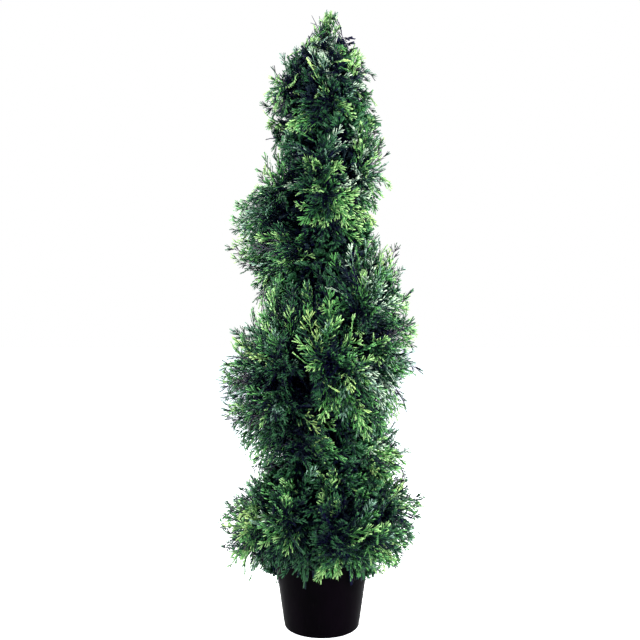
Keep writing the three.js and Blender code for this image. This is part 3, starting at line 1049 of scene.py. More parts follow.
@dataclass
class FoliageMass:
    """One mass of foliage: boughs from the pole to its tufts, twigs from each tuft, and sprays on them."""

    node: str
    spiral: Spiral
    span: Pair
    seed: int
    spray_spacing: float = 0.0200
    tuft_spacing: float = 0.140
    tuft_share: float = 0.27
    tuft_height_share: float = 0.36
    tuft_drop: float = 0.0
    tuft_blur: float = 0.020
    tuft_middle: float = 0.028
    tuft_lift: float = 0.5
    tuft_pull: float = 0.5
    place_jitter: float = 0.4
    kept_extra: float = 0.15
    kept_in_middle: float = 0.45
    kept_in_hollow: float = 0.22
    shade_spacing: float = 0.034
    shade_on_pole: int = 80
    shade_in_crease: int = 60
    shade_rise: float = 1.0
    shade_top: float = 1.0
    shade_lowest: float = 0.175
    shade_out: Pair = (0.40, 0.66)
    shade_up: Pair = (0.5, 0.85)
    shade_by_pole: Pair = (0.5, 0.8)
    shade_by_crease: Pair = (0.5, 0.95)
    shade_blur: float = 0.012
    shade_core: float = 0.12
    shade_drop: float = 0.012
    shade_aim_blur: float = 0.022
    shade_reach: float = 0.9
    shade_shortest: float = 0.012
    shade_longest: Pair = (0.055, 0.080)
    shade_bow: float = 0.1
    overlap: float = 0.05
    crease_overlap: float = 0.030
    trim: float = 0.009
    # dim_share, dark_hollow and night_hollow deal out painted shade: dark dresses on deep sprays and round
    # the hollows.
    dim_share: float = 0.80
    dark_share: float = 0.29
    shared_dress: float = 0.22
    accent_share: float = 0.60
    accent_back: float = 0.02
    dark_hollow: float = 1.5
    night_hollow: Pair = (0.9, 1.3)
    runners: float = 0.20
    runner_reach: Pair = (0.006, 0.021)
    runner_bare: float = 0.55
    splay: float = 0.52
    splay_gain: float = 0.9
    splay_blur: float = 0.010
    aim_blur: float = 0.07
    face_blur: float = 0.35
    droop: float = 0.006
    edge_facing: float = 0.6
    bows: Pair = (-0.02, 0.12)
    sway_blur: float = 0.04
    core_share: float = 0.35
    level: float = 0.50
    crease_level: float = 0.90
    sunk_share: float = 0.36
    widest: float = 0.205
    length_shares: Pair = (0.62, 0.98)
    shortest: float = 0.045
    longest: float = 0.120
    twig_start: float = 0.012
    twig_radii: Pair = (0.0009, 0.0010)
    pot_room: PotRoom = PotRoom()

    def __post_init__(self) -> None:
        """Places the tufts and the sprays."""
        self.rng = np.random.default_rng(self.seed)
        self.bursts, self.tufts = self._tufts()
        self.planting = self._sprays()
        self.shade = self._shade_sprays()

    @property
    def label(self) -> str:
        """The number and side of the mass, from its node's name."""
        return self.node.removeprefix("foliage_")

    @property
    def dress_shares(self) -> dict[Dress, Pair]:
        """How often each common dress is worn, and how much oftener where a spray faces right. The blue and
        pale dresses are worn oftener on the right, and the dark ones less often, as painted sheen from the
        light on that side. Part of DARK's share is painted shade.

        Returns:
            A pair of shares for each dress.
        """
        return {
            Dress.DARK: (self.dark_share, -0.10),
            Dress.GREEN: (0.28, -0.06),
            Dress.LEAFY: (0.23, 0.0),
            Dress.YOUNG: (0.022, 0.0),
            Dress.BLUE: (0.13, 0.10),
            Dress.PALE: (0.04, 0.04),
        }

    def _spread(self, spacing: float, overlap: float = 0.0) -> tuple[Array, Array]:
        """Places spread evenly over the outline.

        Args:
            spacing: How far apart they are.
            overlap: How many half turns they go on into the next masses.

        Returns:
            Their turn numbers and lifts.
        """
        start, end = self.span[0] - overlap, self.span[1] + overlap
        reach = float(self.spiral.outline(np.array([(start + end) / 2]), np.array([0.0]))[0][0])
        columns = max(3, round(math.pi * (end - start) * reach / spacing))
        profile = np.linspace(-1, 1, 41)
        turns, lifts = [], []
        for column in range(columns):
            middle = start + (end - start) * (column + 0.5) / columns
            radius, height = self.spiral.outline(np.full_like(profile, middle), profile)
            run = np.concatenate([[0], np.cumsum(np.hypot(np.diff(radius), np.diff(height)))])
            rows = max(2, round(run[-1] / spacing))
            drift = self.rng.uniform(-self.place_jitter, self.place_jitter, rows)
            at = (np.arange(rows) + 0.5 + drift) / rows * run[-1]
            lift = np.interp(at, run, profile)
            kept = self.rng.random(rows) < np.interp(at, run, radius) / reach + self.kept_extra
            jitter = self.rng.uniform(-0.5, 0.5, rows) * (end - start) / columns
            turns.append((middle + jitter)[kept])
            lifts.append(lift[kept])
        return np.concatenate(turns), np.concatenate(lifts)

    def _inside(self, turn: Array, lift: Array, share: Array, height_share: Array) -> Array:
        """Points inside the outline, by their shares of the way out and of the way up or down.

        Args:
            turn: Turn numbers.
            lift: Lifts, as many.
            share: How far out from the inner side, from 0 to 1.
            height_share: How far up or down from the bulge's height, from 0 to 1.

        Returns:
            The points.
        """
        radius, height = self.spiral.outline(turn, lift)
        middle = self.spiral.outline(turn, np.zeros_like(lift))[1]
        inner = self.spiral.inner(turn, lift)
        return place_at(turn, blend(inner, radius, share), blend(middle, height, height_share))

    def _tufts(self) -> tuple[Array, Array]:
        """The places on the outline that the sprays splay from, and the ends of the boughs inside them.

        Returns:
            The places and the ends. A place near a dark hollow moves to its middle.
        """
        turn, lift = self._spread(self.tuft_spacing)
        lift *= self.tuft_lift
        share = self.tuft_share * self.rng.uniform(0.8, 1.2, len(turn))
        ends = self._inside(turn, lift, share, np.full_like(turn, self.tuft_height_share))
        ends[:, 2] -= self.tuft_drop
        bursts = self._inside(turn, lift, np.ones_like(turn), np.ones_like(turn))
        for hollow in HOLLOWS:
            near = np.linalg.norm(bursts - hollow[:3], axis=-1)
            if near.min() < self.tuft_pull * self.tuft_spacing:
                bursts[np.argmin(near)] = hollow[:3]
        return bursts, ends

    def _sprays(self) -> Planting:
        """The sprays that make the outline. They splay out from their tuft's dark middle, flat side out.

        Returns:
            The sprays, thinned out in their tufts' middles and in the dark hollows.
        """
        rng = self.rng
        turn, lift = self._spread(self.spray_spacing, self.overlap)
        count = len(turn)
        radius, height = self.spiral.outline(turn, lift)
        surface = place_at(turn, radius, height)
        middle = self.spiral.outline(turn, np.zeros_like(lift))[1]
        crease = np.where((turn < -0.5) & (lift < 0), 0.0, lift**2)
        level = blend(self.level, self.crease_level, crease)
        core = place_at(turn, radius * self.core_share, blend(middle, height, level))
        outward = unit(surface - core)
        distance = np.linalg.norm(surface[:, None] - self.bursts[None], axis=-1)
        nearest = np.argmin(distance + rng.normal(0, self.tuft_blur, distance.shape), axis=1)
        away = surface - self.bursts[nearest]
        away -= outward * (away * outward).sum(-1, keepdims=True)
        off_middle = np.linalg.norm(away, axis=-1)
        tuft = self.tufts[nearest]
        depth = np.linalg.norm(surface - tuft, axis=-1)
        length = np.clip(depth * rng.uniform(*self.length_shares, count), self.shortest, self.longest)
        sine = np.minimum(self.splay, self.splay_gain * off_middle / length)[:, None]
        aside = unit(away + rng.normal(0, self.splay_blur, away.shape))
        straight = outward * np.sqrt(1 - sine**2)
        axis = unit(straight + aside * sine + rng.normal(0, self.aim_blur, away.shape))
        over = self.crease_overlap * lift**2 * np.abs(np.sin(np.pi * turn)) - self.trim
        runner = rng.random(count) < self.runners
        over += np.where(runner, rng.uniform(*self.runner_reach, count), 0.0)
        sunk = self.sunk_share * depth * rng.random(count) ** 1.1 - over
        tip = surface - outward * sunk[:, None]
        tip[:, 2] -= rng.uniform(0, self.droop, count)
        tip[:, :2] *= np.minimum(1.0, self.widest / np.hypot(tip[:, 0], tip[:, 1]))[:, None]
        face = unit(outward + rng.normal(0, self.face_blur, outward.shape))
        dress = self._dresses(surface, outward, nearest, sunk / depth / self.sunk_share)
        # Runners at the sides wear the dark plum dress: painted backlit shade on the silhouette's strands.
        edge = runner & (np.abs(outward[:, 1]) < self.edge_facing)
        dress[edge & (rng.random(count) < self.runner_bare)] = Dress.BARE.number
        bow = rng.uniform(*self.bows, count)
        sway = rng.normal(0, self.sway_blur, count)
        sprays = Planting(tuft, tip - axis * length[:, None], tip, face, bow, sway, dress)
        kept = np.clip(off_middle / self.tuft_middle, self.kept_in_middle, 1.0)
        kept *= np.clip(self._off_hollows(surface), self.kept_in_hollow, 1.0)
        return sprays.rows(rng.random(count) < kept)

    def _off_hollows(self, places: Array) -> Array:
        """How far places are from the nearest dark hollow, as shares of its radius."""
        return (np.linalg.norm(places[:, None] - HOLLOWS[:, :3], axis=-1) / HOLLOWS[:, 3]).min(1)

    def _dresses(self, surface: Array, outward: Array, nearest: Array, sunk: Array) -> Array:
        """Deals out the sprays' dresses. Some sprays of a tuft wear the same one.

        Args:
            surface: The sprays' places on the outline.
            outward: The directions that they face.
            nearest: The number of each one's tuft.
            sunk: How deep each one lies, from 0, outermost, to 1.

        Returns:
            The number of each spray's dress.
        """
        rng = self.rng
        count = len(surface)
        off_hollows = self._off_hollows(surface)
        usual, on_right = np.array(list(self.dress_shares.values())).T
        shares = usual + on_right * np.clip(outward[:, :1], 0, 1)
        steps = np.cumsum(shares / shares.sum(-1, keepdims=True), -1)
        own = rng.random(count)
        shared = rng.random(len(self.tufts))[nearest]
        draw = np.where(rng.random(count) < self.shared_dress, shared, own)
        picked = np.minimum((draw[:, None] > steps).sum(-1), len(usual) - 1)
        dress = np.array([each.number for each in self.dress_shares])[picked]
        # Deep sprays and those near a hollow wear DARK, and those nearest a hollow wear NIGHT: painted shade.
        dim = rng.random(count) < self.dim_share * (sunk > 0.5)
        near_hollow = rng.random(count) < self.dark_hollow - off_hollows
        dress[dim | near_hollow] = Dress.DARK.number
        night, fading = self.night_hollow
        dress[rng.random(count) < night - fading * off_hollows] = Dress.NIGHT.number
        for accent in ACCENTS:
            away = np.hypot(surface[:, 0] - accent.x, surface[:, 2] - accent.z)
            within = (away < accent.radius) & (surface[:, 1] < self.accent_back)
            dress[within & (rng.random(count) < self.accent_share)] = accent.dress.number
        return dress

    def _shade_sprays(self) -> Planting:
        """Dark sprays inside the mass: round its tufts, straight on the pole and in the lower crease. They
        wear NIGHT, and DARK in the crease, as painted shade inside the mass.

        Returns:
            The sprays.
        """
        rng = self.rng
        turn, lift = self._spread(self.shade_spacing)
        low_enough = lift <= self.shade_top
        turn, lift = turn[low_enough], lift[low_enough]
        out_share = rng.uniform(*self.shade_out, len(turn))
        inside = self._inside(turn, lift, out_share, rng.uniform(*self.shade_up, len(turn)))
        turn = rng.uniform(*self.span, self.shade_on_pole)
        low_radius, low_height = self.spiral.outline(turn, np.full_like(turn, -1.0))
        high_radius, high_height = self.spiral.outline(turn, np.full_like(turn, 1.0))
        rise = rng.random(len(turn)) * self.shade_rise
        radius = blend(low_radius, high_radius, rise) * rng.uniform(*self.shade_by_pole, len(turn))
        by_pole = place_at(turn, radius, np.maximum(blend(low_height, high_height, rise), self.shade_lowest))
        turn = rng.uniform(*self.span, self.shade_in_crease)
        low_radius, low_height = self.spiral.outline(turn, np.full_like(turn, -1.0))
        radius = low_radius * rng.uniform(*self.shade_by_crease, len(turn))
        in_crease = place_at(turn, radius, low_height + rng.normal(0, self.shade_blur, len(turn)))
        tip = np.concatenate([inside, by_pole, in_crease])
        count = len(tip)
        core = tip * [self.shade_core, self.shade_core, 1.0] - [0.0, 0.0, self.shade_drop]
        aim = unit(tip - core + rng.normal(0, self.shade_aim_blur, tip.shape))
        wide = np.hypot(tip[:, 0], tip[:, 1])
        longest = rng.uniform(*self.shade_longest, count)
        root = tip - aim * np.clip(self.shade_reach * wide, self.shade_shortest, longest)[:, None]
        face = unit(aim + rng.normal(0, 1.0, tip.shape))
        # Painted shade: near-black inside the mass, and dark green in the crease.
        dress = np.full(count, Dress.NIGHT.number)
        dress[-len(in_crease):] = Dress.DARK.number
        bow = rng.uniform(-self.shade_bow, self.shade_bow, count)
        return Planting(root - aim * self.twig_start, root, tip, face, bow, np.zeros(count), dress)

    def leaves(
        self,
        patterns: list[SprayPattern],
        shade_patterns: list[SprayPattern],
        tints: list[bpy.types.Material],
    ) -> bpy.types.Object:
        """The mass's leaves as one piece.

        Args:
            patterns: The outer sprays' patterns, of several lengths.
            shade_patterns: The inner sprays' patterns.
            tints: The materials of the tints.

        Returns:
            The piece, dressed in the tints.
        """
        points, faces, slots = [], [], []
        total = 0
        for planting, choices in ((self.planting, patterns), (self.shade, shade_patterns)):
            length = planting.axes()[0]
            misfit = np.abs(length[:, None] - np.array([choice.length for choice in choices]))
            pick = np.argmin(misfit + self.rng.uniform(0, 0.006, misfit.shape), axis=1)
            for number, pattern in enumerate(choices):
                chosen = planting.rows(pick == number)
                if not len(chosen.root):
                    continue
                grown = self.pot_room.keep_clear(self.spiral.lean(chosen.dressed_with(pattern)))
                points.append(grown.reshape(-1, 3))
                first = total + np.arange(len(grown))[:, None, None] * grown.shape[1]
                faces.append((first + pattern.faces).reshape(-1, 3))
                slots.append(DRESS_TINTS[chosen.dress][:, pattern.tiers].ravel())
                total += grown.shape[0] * grown.shape[1]
        points, faces, slots = map(np.concatenate, (points, faces, slots))
        return on_body(piece_from(f"leaves_{self.label}", points, faces, tints, slots), "foliage", self.node)

    def twigs(self, finishes: list[bpy.types.Material]) -> bpy.types.Object:
        """The mass's twigs as one piece. A twig starts in its tuft and runs on as its spray's midrib.

        Args:
            finishes: The materials of the tints, and after them the bare stems'.

        Returns:
            The piece. Its twigs wear the stems' finish up to the spray, and then the spray's own tints.
        """
        corners = 3
        step = 2 * corners
        shares = np.array([0.0, 0.25, 0.5, 0.75, 0.985])
        taper = np.array([1.35, 1.2, 1.05, 0.95, 0.85, 0.7, 0.4])
        parts, slots = [], []
        for planting, thick in zip((self.planting, self.shade), self.twig_radii):
            rib = planting.rib_points(shares)
            middle = (planting.tuft + rib[:, 0]) / 2
            paths = np.concatenate([planting.tuft[:, None], middle[:, None], rib], axis=1)
            paths = self.pot_room.keep_clear(self.spiral.lean(paths))
            parts.append(Tubes(corners).arrays(paths, np.tile(thick * taper, (len(paths), 1)), planting.face))
            stem_tints, leaf_tints = DRESS_TINTS[planting.dress, :2].T
            tinted = np.repeat(leaf_tints[:, None], len(parts[-1][1]) // len(paths), 1)
            tinted[:, :4 * step] = stem_tints[:, None]
            tinted[:, :2 * step] = len(Tint)
            slots.append(tinted.ravel())
        piece = piece_from(f"twigs_{self.label}", *joined(parts), finishes, np.concatenate(slots))
        return on_body(piece, "foliage")

    def boughs(self) -> tuple[Array, Array]:
        """The arrays of the boughs that carry the tufts."""
        return Boughs().arrays(self.tufts, self.spiral, self.rng)


@dataclass
class CrownMass(FoliageMass):
    """The mass over the pole's tip: short dense sprays, lighter, with others that stand up as its point. It
    is lighter because it wears few dark dresses: painted light on the plant's top.
    """

    spray_spacing: float = 0.0185
    tuft_share: float = 0.20
    tuft_drop: float = 0.045
    overlap: float = 0.0
    crease_overlap: float = 0.0
    level: float = 0.35
    crease_level: float = 0.35
    trim: float = 0.004
    dim_share: float = 0.20
    dark_share: float = 0.04
    shade_in_crease: int = 1
    shade_on_pole: int = 36
    shade_rise: float = 0.25
    shade_top: float = -0.10
    leader_sprays: int = 15
    leader_roots: Pair = (1.125, 1.168)
    leader_top: float = 1.216
    leader_depth: float = 0.060
    leader_width: float = 0.006
    leader_taper: float = 0.62

    def _sprays(self) -> Planting:
        """The sprays of the crown's outline, and after them the leader's."""
        return super()._sprays().with_more(self._leader_sprays())

    def _leader_sprays(self) -> Planting:
        """Pale sprays that stand up from the top of the leader and make the plant's point.

        Returns:
            The sprays.
        """
        rng = self.rng
        count = self.leader_sprays
        root = np.zeros((count, 3))
        root[:, 2] = rng.uniform(*self.leader_roots, count)
        around = 2 * np.arange(count) / count + rng.uniform(-0.06, 0.06, count)
        top = self.leader_top - rng.uniform(0.0, 0.75, count) ** 1.5 * self.leader_depth
        tip = place_at(around, self.leader_width + self.leader_taper * (self.spiral.top - top), top)
        dress = rng.choice([each.number for each in (Dress.PALE, Dress.LEAFY, Dress.BLUE)], count)
        face = unit(rng.normal(0, 1.0, root.shape))
        bow = rng.uniform(-0.08, 0.08, count)
        sway = rng.normal(0, self.sway_blur, count)
        return Planting(root - [0, 0, self.twig_start], root, tip, face, bow, sway, dress)


def joined(parts: list[tuple[Array, Array]]) -> tuple[Array, Array]:
    """Joins several pairs of points and triangles into one pair.

    Args:
        parts: The pairs.

    Returns:
        The joined points and triangles.
    """
    starts = np.cumsum([0] + [len(points) for points, _ in parts])
    faces = [faces + start for (_, faces), start in zip(parts, starts)]
    return np.concatenate([points for points, _ in parts]), np.concatenate(faces)


@dataclass
class Foliage:
    """All the masses of the spiral and the crown, with the twigs and the boughs that carry them."""

    lengths: tuple[float, ...] = (0.050, 0.068, 0.088, 0.110)
    varieties: int = 4
    stem_gap: float = 0.0090
    crown_seed: int = 5300
    seed: int = 5200
    bough_bark: Bark = Bark()

    def patterns(self) -> list[SprayPattern]:
        """The outer sprays' patterns: a few varieties of each length.

        Returns:
            The patterns.
        """
        return [
            SprayPattern(length, self._side_stems(length), seed=100 * number + variety)
            for number, length in enumerate(self.lengths)
            for variety in range(self.varieties)
        ]

    def _side_stems(self, length: float) -> int:
        """How many side stems fit on a spray of this length."""
        return max(5, round(SprayPattern.stem_span * length / self.stem_gap))

    def shade_patterns(self) -> list[SprayPattern]:
        """The inner sprays' patterns, with fewer and larger leaves."""
        sizes = {"leaf_length": 0.0170, "leaf_width": 0.0045, "leaf_gap": 0.0125, "spread_angle": 0.80}
        return [SprayPattern(0.062, 7, seed=900 + variety, **sizes) for variety in range(3)]

    def masses(self) -> list[FoliageMass]:
        """The masses from the bottom up, each for its node of the frame.

        Returns:
            The half turns' masses, and the crown's last.
        """
        nodes = sorted(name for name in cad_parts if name.startswith("foliage_"))
        spans = [(turn - 0.5, turn + 0.5) for turn in HALF_TURNS]
        grown = [
            FoliageMass(node, Spiral(), span, self.seed + number)
            for number, (node, span) in enumerate(zip(nodes, spans))
        ]
        over = max(HALF_TURNS) + 0.5
        return [*grown, CrownMass(nodes[-1], Crown(), (over, over + 2), self.crown_seed)]

    def build(self) -> None:
        """Builds the leaves, the twigs and the boughs."""
        patterns, shade_patterns = self.patterns(), self.shade_patterns()
        tints = [TINT_PLASTICS[tint].material() for tint in Tint]
        stem = SprayPlastic("stem_plum", (0.009, 0.008, 0.014), 0.55, 0.2).material()
        bark = self.bough_bark.material()
        masses = self.masses()
        for mass in masses:
            mass.leaves(patterns, shade_patterns, tints)
            mass.twigs([*tints, stem])
        on_body(piece_from("boughs", *joined([mass.boughs() for mass in masses]), [bark]), "pole")


def lathe(profile: list[Pair], steps: int) -> bmesh.types.BMesh:
    """Turns an outline round the plant's axis.

    Args:
        profile: Radius and height of its corners, from the axis back to the axis.
        steps: How many faces go round.

    Returns:
        A closed mesh with its faces pointing out.
    """
    mesh = bmesh.new()
    corners = [mesh.verts.new((radius, 0.0, height)) for radius, height in profile]
    edges = [mesh.edges.new(pair) for pair in zip(corners, corners[1:])]
    bmesh.ops.spin(
        mesh,
        geom=corners + edges,
        cent=(0, 0, 0),
        axis=(0, 0, 1),
        angle=2 * math.pi,
        steps=steps,
        use_merge=True,
    )
    bmesh.ops.remove_doubles(mesh, verts=mesh.verts, dist=1e-6)
    bmesh.ops.recalc_face_normals(mesh, faces=mesh.faces)
    return mesh


def finished(
    mesh: bmesh.types.BMesh, name: str, material: bpy.types.Material, smooth: Callable[[Vector], bool]
) -> bpy.types.Object:
    """Turns a bmesh into a piece.

    Args:
        mesh: The modelled shape, which is freed.
        name: The piece's name.
        material: Its finish.
        smooth: Whether a face with this normal is shaded smoothly.

    Returns:
        The piece.
    """
    for face in mesh.faces:
        face.smooth = smooth(face.normal)
    data = bpy.data.meshes.new(name)
    mesh.to_mesh(data)
    mesh.free()
    data.materials.append(material)
    return placed(name, data)


@dataclass
class Pole:
    """The straight pole in its moulded bark, from the flare on the filling to its tip."""

    node: str = "trunk_pole"
    around: int = 36
    ring_gap: float = 0.007
    relief: float = 0.0010
    foot_radius: float = 0.012
    tip_radius: float = 0.005
    flare_height: float = 0.026
    furrows: float = 2.6
    furrow_length: float = 0.045

    def build(self) -> None:
        """Builds the pole over its node's own height and flare."""
        low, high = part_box(self.node)
        flare = high[0] - self.relief
        rings = math.ceil((high[2] - low[2]) / self.ring_gap)
        heights = [low[2] + (high[2] - low[2]) * ring / rings for ring in range(rings + 1)]
        profile = [(self._radius(height, low[2], high[2], flare), height) for height in heights]
        mesh = lathe([(0.0, low[2]), *profile, (0.0, high[2])], self.around)
        for vertex in mesh.verts:
            self._carve(vertex, low[2])
        piece = finished(mesh, "pole_bark", Bark("pole_bark").material(), lambda normal: abs(normal.z) < 0.9)
        on_body(piece, "pole", self.node)

    def _radius(self, height: float, foot: float, top: float, flare: float) -> float:
        """The pole's radius at a height, with the flare round its foot.

        Args:
            height: The height asked for.
            foot: The height of the pole's foot.
            top: The height of its tip.
            flare: The radius of its foot.

        Returns:
            The radius.
        """
        taper = self.foot_radius + (self.tip_radius - self.foot_radius) * (height - foot) / (top - foot)
        share = min(1.0, (height - foot) / self.flare_height)
        return taper + (flare - self.foot_radius) * (1 - share) ** 2

    def _carve(self, vertex: bmesh.types.BMVert, foot: float) -> None:
        """Cuts the bark's furrows: long, winding, and as deep as the relief.

        Args:
            vertex: A corner of the pole, which is moved.
            foot: Not used.
        """
        radius = math.hypot(vertex.co.x, vertex.co.y)
        if radius < 1e-4:
            return
        across = vertex.co.to_2d() / radius * self.furrows
        place = Vector((across.x, across.y, vertex.co.z / self.furrow_length))
        ridge = 1 - 2 * abs(noise.noise(place)) + 0.4 * noise.noise(place * 4)
        depth = self.relief * min(1.0, max(-1.0, ridge * 1.6 - 1.0))
        vertex.co.x *= 1 + depth / radius
        vertex.co.y *= 1 + depth / radius


@dataclass
class Pot:
    """The tapered nursery pot, turned from its section: a rounded foot, a smooth wall and a rolled lip."""

    node: str = "pot"
    around: int = 128
    foot_radius: float = 0.074
    mouth_radius: float = 0.098
    wall: float = 0.0024
    floor: float = 0.004
    lip_height: float = 0.014
    lip_round: float = 0.0024
    lip_draft: float = 0.0002
    lip_inside: float = 0.006
    ledge_round: float = 0.0018
    ledge_gap: float = 0.0015
    ledge_step: float = 0.0006
    ledge_rise: float = 0.0022
    foot_round: float = 0.0025
    wall_rings: int = 12

    def build(self) -> None:
        """Builds the pot within its node's box."""
        low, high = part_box(self.node)
        height = high[2] - low[2]
        lip = high[0]
        under = height - self.lip_height
        wall_at = [self._outside(height * share, height) for share in (0, 1)]
        rings = [under * ring / self.wall_rings for ring in range(1, self.wall_rings)]
        inside = [(self._outside(z, height) - self.wall, z) for z in reversed(rings)]
        profile = [
            (0.0, 0.0),
            (self.foot_radius * 0.5, 0.0),
            *arc((wall_at[0] - self.foot_round, self.foot_round), self.foot_round, -90, 0, 5),
            *[(self._outside(z, height), z) for z in rings],
            (self._outside(under - self.ledge_gap, height), under - self.ledge_gap),
            (self._outside(under, height) + self.ledge_step, under),
            *arc((lip - self.lip_round, under + self.ledge_rise), self.ledge_round, -90, 0, 4),
            (lip - self.lip_draft, under + self.lip_height * 0.5),
            *arc((lip - self.lip_round, height - self.lip_round), self.lip_round, 0, 180, 9),
            (self._outside(height, height) - self.wall + self.lip_draft, height - self.lip_inside),
            *inside,
            (self._outside(self.floor, height) - self.wall, self.floor),
            (0.0, self.floor),
        ]
        mesh = lathe(profile, self.around)
        finish = PotPlastic(height=height).material()
        piece = finished(mesh, "pot_moulded", finish, lambda normal: abs(normal.z) < 0.98)
        on_body(piece, "pot_plastic", self.node)

    def _outside(self, z: float, height: float) -> float:
        """The wall's outer radius at a height."""
        return self.foot_radius + (self.mouth_radius - self.foot_radius) * z / height


def arc(centre: Pair, radius: float, start: float, end: float, count: int) -> list[Pair]:
    """Corners on a round stretch of a section, between two angles in degrees."""
    angles = [math.radians(start + (end - start) * step / (count - 1)) for step in range(count)]
    return [(centre[0] + radius * math.cos(angle), centre[1] + radius * math.sin(angle)) for angle in angles]


@dataclass
class Filling:
    """The set filling in the pot, trowelled rough, a little hollow towards the wall."""

    node: str = "pot_filling"
    around: int = 96
    rings: int = 34
    roughness: float = 0.0016
    settled: float = 0.0025
    pole_seat: float = 0.020
    pole_blend: float = 0.012
    taper: float = 0.148
    clearance: float = 0.0004
    lump_scales: Pair = (140, 420)

    def build(self) -> None:
        """Builds the filling within its node's box."""
        low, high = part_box(self.node)
        top_radius = high[0] - self.clearance
        foot_radius = top_radius - (high[2] - low[2]) * self.taper
        top = [(top_radius * (1 - ring / self.rings), high[2]) for ring in range(self.rings + 1)]
        mesh = lathe([(0.0, low[2]), (foot_radius, low[2]), *top], self.around)
        for vertex in mesh.verts:
            if vertex.co.z > high[2] - 1e-5:
                vertex.co.z -= self._hollow(vertex.co)
        piece = finished(mesh, "filling_set", SetFilling().material(), lambda normal: normal.z > 0.3)
        on_body(piece, "filling", self.node)

    def _hollow(self, place: Vector) -> float:
        """How far the filling's top lies under its highest level at a place.

        Args:
            place: A place on the top.

        Returns:
            The depth.
        """
        radius = math.hypot(place.x, place.y)
        free = min(1.0, max(0.0, (radius - self.pole_seat) / self.pole_blend))
        large, small = (noise.noise(place * scale) for scale in self.lump_scales)
        lumps = 0.5 + 0.5 * large + 0.25 * small
        return free * (self.settled * (radius / 0.09) ** 2 + self.roughness * max(0.0, lumps))


@dataclass
class Leader:
    """The leader that carries the crown from the pole's tip up, with the bare forked twigs beside it."""

    foot: float = 1.0975
    head: float = 1.196
    radius: float = 0.0042
    tip_radius: float = 0.0010
    stops: int = 14
    twig_taper: tuple[float, ...] = (0.0011, 0.0010, 0.0009, 0.0006)
    bare_twigs: tuple[tuple[Triple, ...], ...] = (
        ((0.002, -0.004, 1.140), (-0.003, -0.012, 1.172), (-0.009, -0.014, 1.186), (-0.020, -0.015, 1.207)),
        ((-0.003, -0.012, 1.170), (-0.0025, -0.013, 1.185), (-0.003, -0.014, 1.196), (-0.005, -0.014, 1.206)),
        ((-0.009, -0.014, 1.186), (-0.011, -0.012, 1.190), (-0.016, -0.010, 1.192), (-0.022, -0.008, 1.195)),
    )

    def build(self) -> None:
        """Builds the leader and the bare twigs as two pieces."""
        heights = np.linspace(self.foot, self.head, self.stops)
        stem = Crown().lean(heights[None, :, None] * [0.0, 0.0, 1.0])
        radii = np.linspace(self.radius, self.tip_radius, self.stops)[None]
        arrays = Tubes(8).arrays(stem, radii, np.array([[1.0, 0.0, 0.0]]))
        on_body(piece_from("leader_stem", *arrays, [Bark("leader_bark").material()]), "pole")
        paths = np.array(self.bare_twigs)
        taper = np.tile(self.twig_taper, (len(paths), 1))
        arrays = Tubes(5).arrays(paths, taper, np.tile([0.0, -1.0, 0.0], (len(paths), 1)))
        finish = SprayPlastic("bare_twig", (0.030, 0.032, 0.040), 0.6, 0.3).material()
        on_body(piece_from("bare_twigs", *arrays, [finish]), "foliage")


@dataclass(frozen=True)
class SoftLight:
    """A square soft light that is turned to a target."""

    name: str
    place: Triple
    target: Triple
    side: float
    watts: float
    colour: Colour = (1.0, 1.0, 1.0)

    def build(self) -> None:
        """Adds the light to the scene."""
        data = bpy.data.lights.new(self.name, "AREA")
        data.shape = "SQUARE"
        data.size = self.side
        data.energy = self.watts
        data.color = self.colour
        light = bpy.data.objects.new(self.name, data)
        light.location = self.place
        aim = Vector(self.target) - Vector(self.place)
        light.rotation_euler = aim.to_track_quat("-Z", "Y").to_euler()
        bpy.context.scene.collection.objects.link(light)


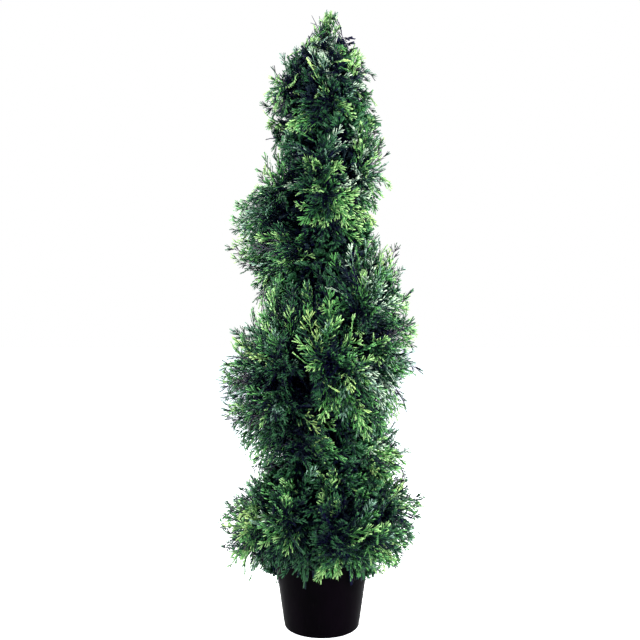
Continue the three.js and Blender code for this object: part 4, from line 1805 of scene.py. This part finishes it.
@dataclass
class Studio:
    """The pale floor, the soft lights and the camera."""

    floor_side: float = 30.0
    camera_place: Triple = (-0.0035, -1.544, 0.6055)
    lens: float = 43.54
    sensor: float = 36.0
    front_glow: float = 0.16
    front_colour: Colour = (0.50, 0.70, 1.30)
    back_glow: float = 0.95
    top_glow: float = 0.8
    lights: tuple[SoftLight, ...] = (
        SoftLight("key_right", (2.4, -1.2, 1.05), (0.0, 0.0, 0.50), 0.60, 166, (1.0, 1.0, 0.97)),
        SoftLight("rim_right", (1.8, 1.2, 1.5), (0.0, 0.0, 0.6), 0.60, 72),
        SoftLight("rim_left", (-1.8, 1.2, 1.5), (0.0, 0.0, 0.6), 0.60, 72),
        SoftLight("fill_left", (-2.6, -0.4, 1.2), (0.0, 0.0, 0.50), 0.60, 112, (1.0, 1.0, 0.98)),
        SoftLight("soft_crown", (-1.0, -0.8, 2.0), (-0.05, 0.0, 1.15), 0.50, 27),
    )

    def build(self) -> None:
        """Builds the floor, the lights and the camera."""
        self._floor()
        self._world()
        for light in self.lights:
            light.build()
        self._camera()

    def _floor(self) -> None:
        """The floor, which the export leaves out."""
        mesh = bmesh.new()
        bmesh.ops.create_grid(mesh, x_segments=4, y_segments=4, size=self.floor_side / 2)
        floor = finished(mesh, "studio_floor", StudioPaper().material(), lambda normal: False)

    def _world(self) -> None:
        """White light from behind and above, fading to dim in front. The camera sees plain white."""
        sheet = Sheet("studio_white", "worlds")
        back = sheet.spread(sheet.coordinate("Generated", "Y"), -0.3, 0.7)
        up = sheet.spread(sheet.coordinate("Generated", "Z"), 0.2, 1.0)
        glow = self.front_glow + back * self.back_glow + up * self.top_glow
        seen = sheet.add("ShaderNodeLightPath", output="Is Camera Ray")
        strength = glow * (1.0 - seen) + seen * 1.0
        behind = sheet.spread(back + seen * 1.0, 0.0, 0.5)
        colour = sheet.blend(behind, solid(self.front_colour), (1.0, 1.0, 1.0, 1.0))
        light = sheet.add("ShaderNodeBackground", values={"Color": colour, "Strength": strength})
        sheet.add("ShaderNodeOutputWorld", values={"Surface": light})
        bpy.context.scene.world = sheet.block

    def _camera(self) -> None:
        """The level camera of the photograph's view."""
        data = bpy.data.cameras.new("camera")
        data.lens = self.lens
        data.sensor_width = self.sensor
        camera = bpy.data.objects.new("camera", data)
        camera.location = self.camera_place
        camera.rotation_euler = (math.pi / 2, 0.0, 0.0)
        bpy.context.scene.collection.objects.link(camera)
        bpy.context.scene.camera = camera


def main() -> None:
    """Builds the plant, its pot and the studio in order."""
    logging.basicConfig(level=logging.INFO, format="%(name)s: %(message)s")
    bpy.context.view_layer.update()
    bpy.context.scene.view_settings.view_transform = "Standard"
    for part in (Studio(), Pot(), Filling(), Pole(), Leader(), Foliage()):
        part.build()


if __name__ == "__main__":
    main()
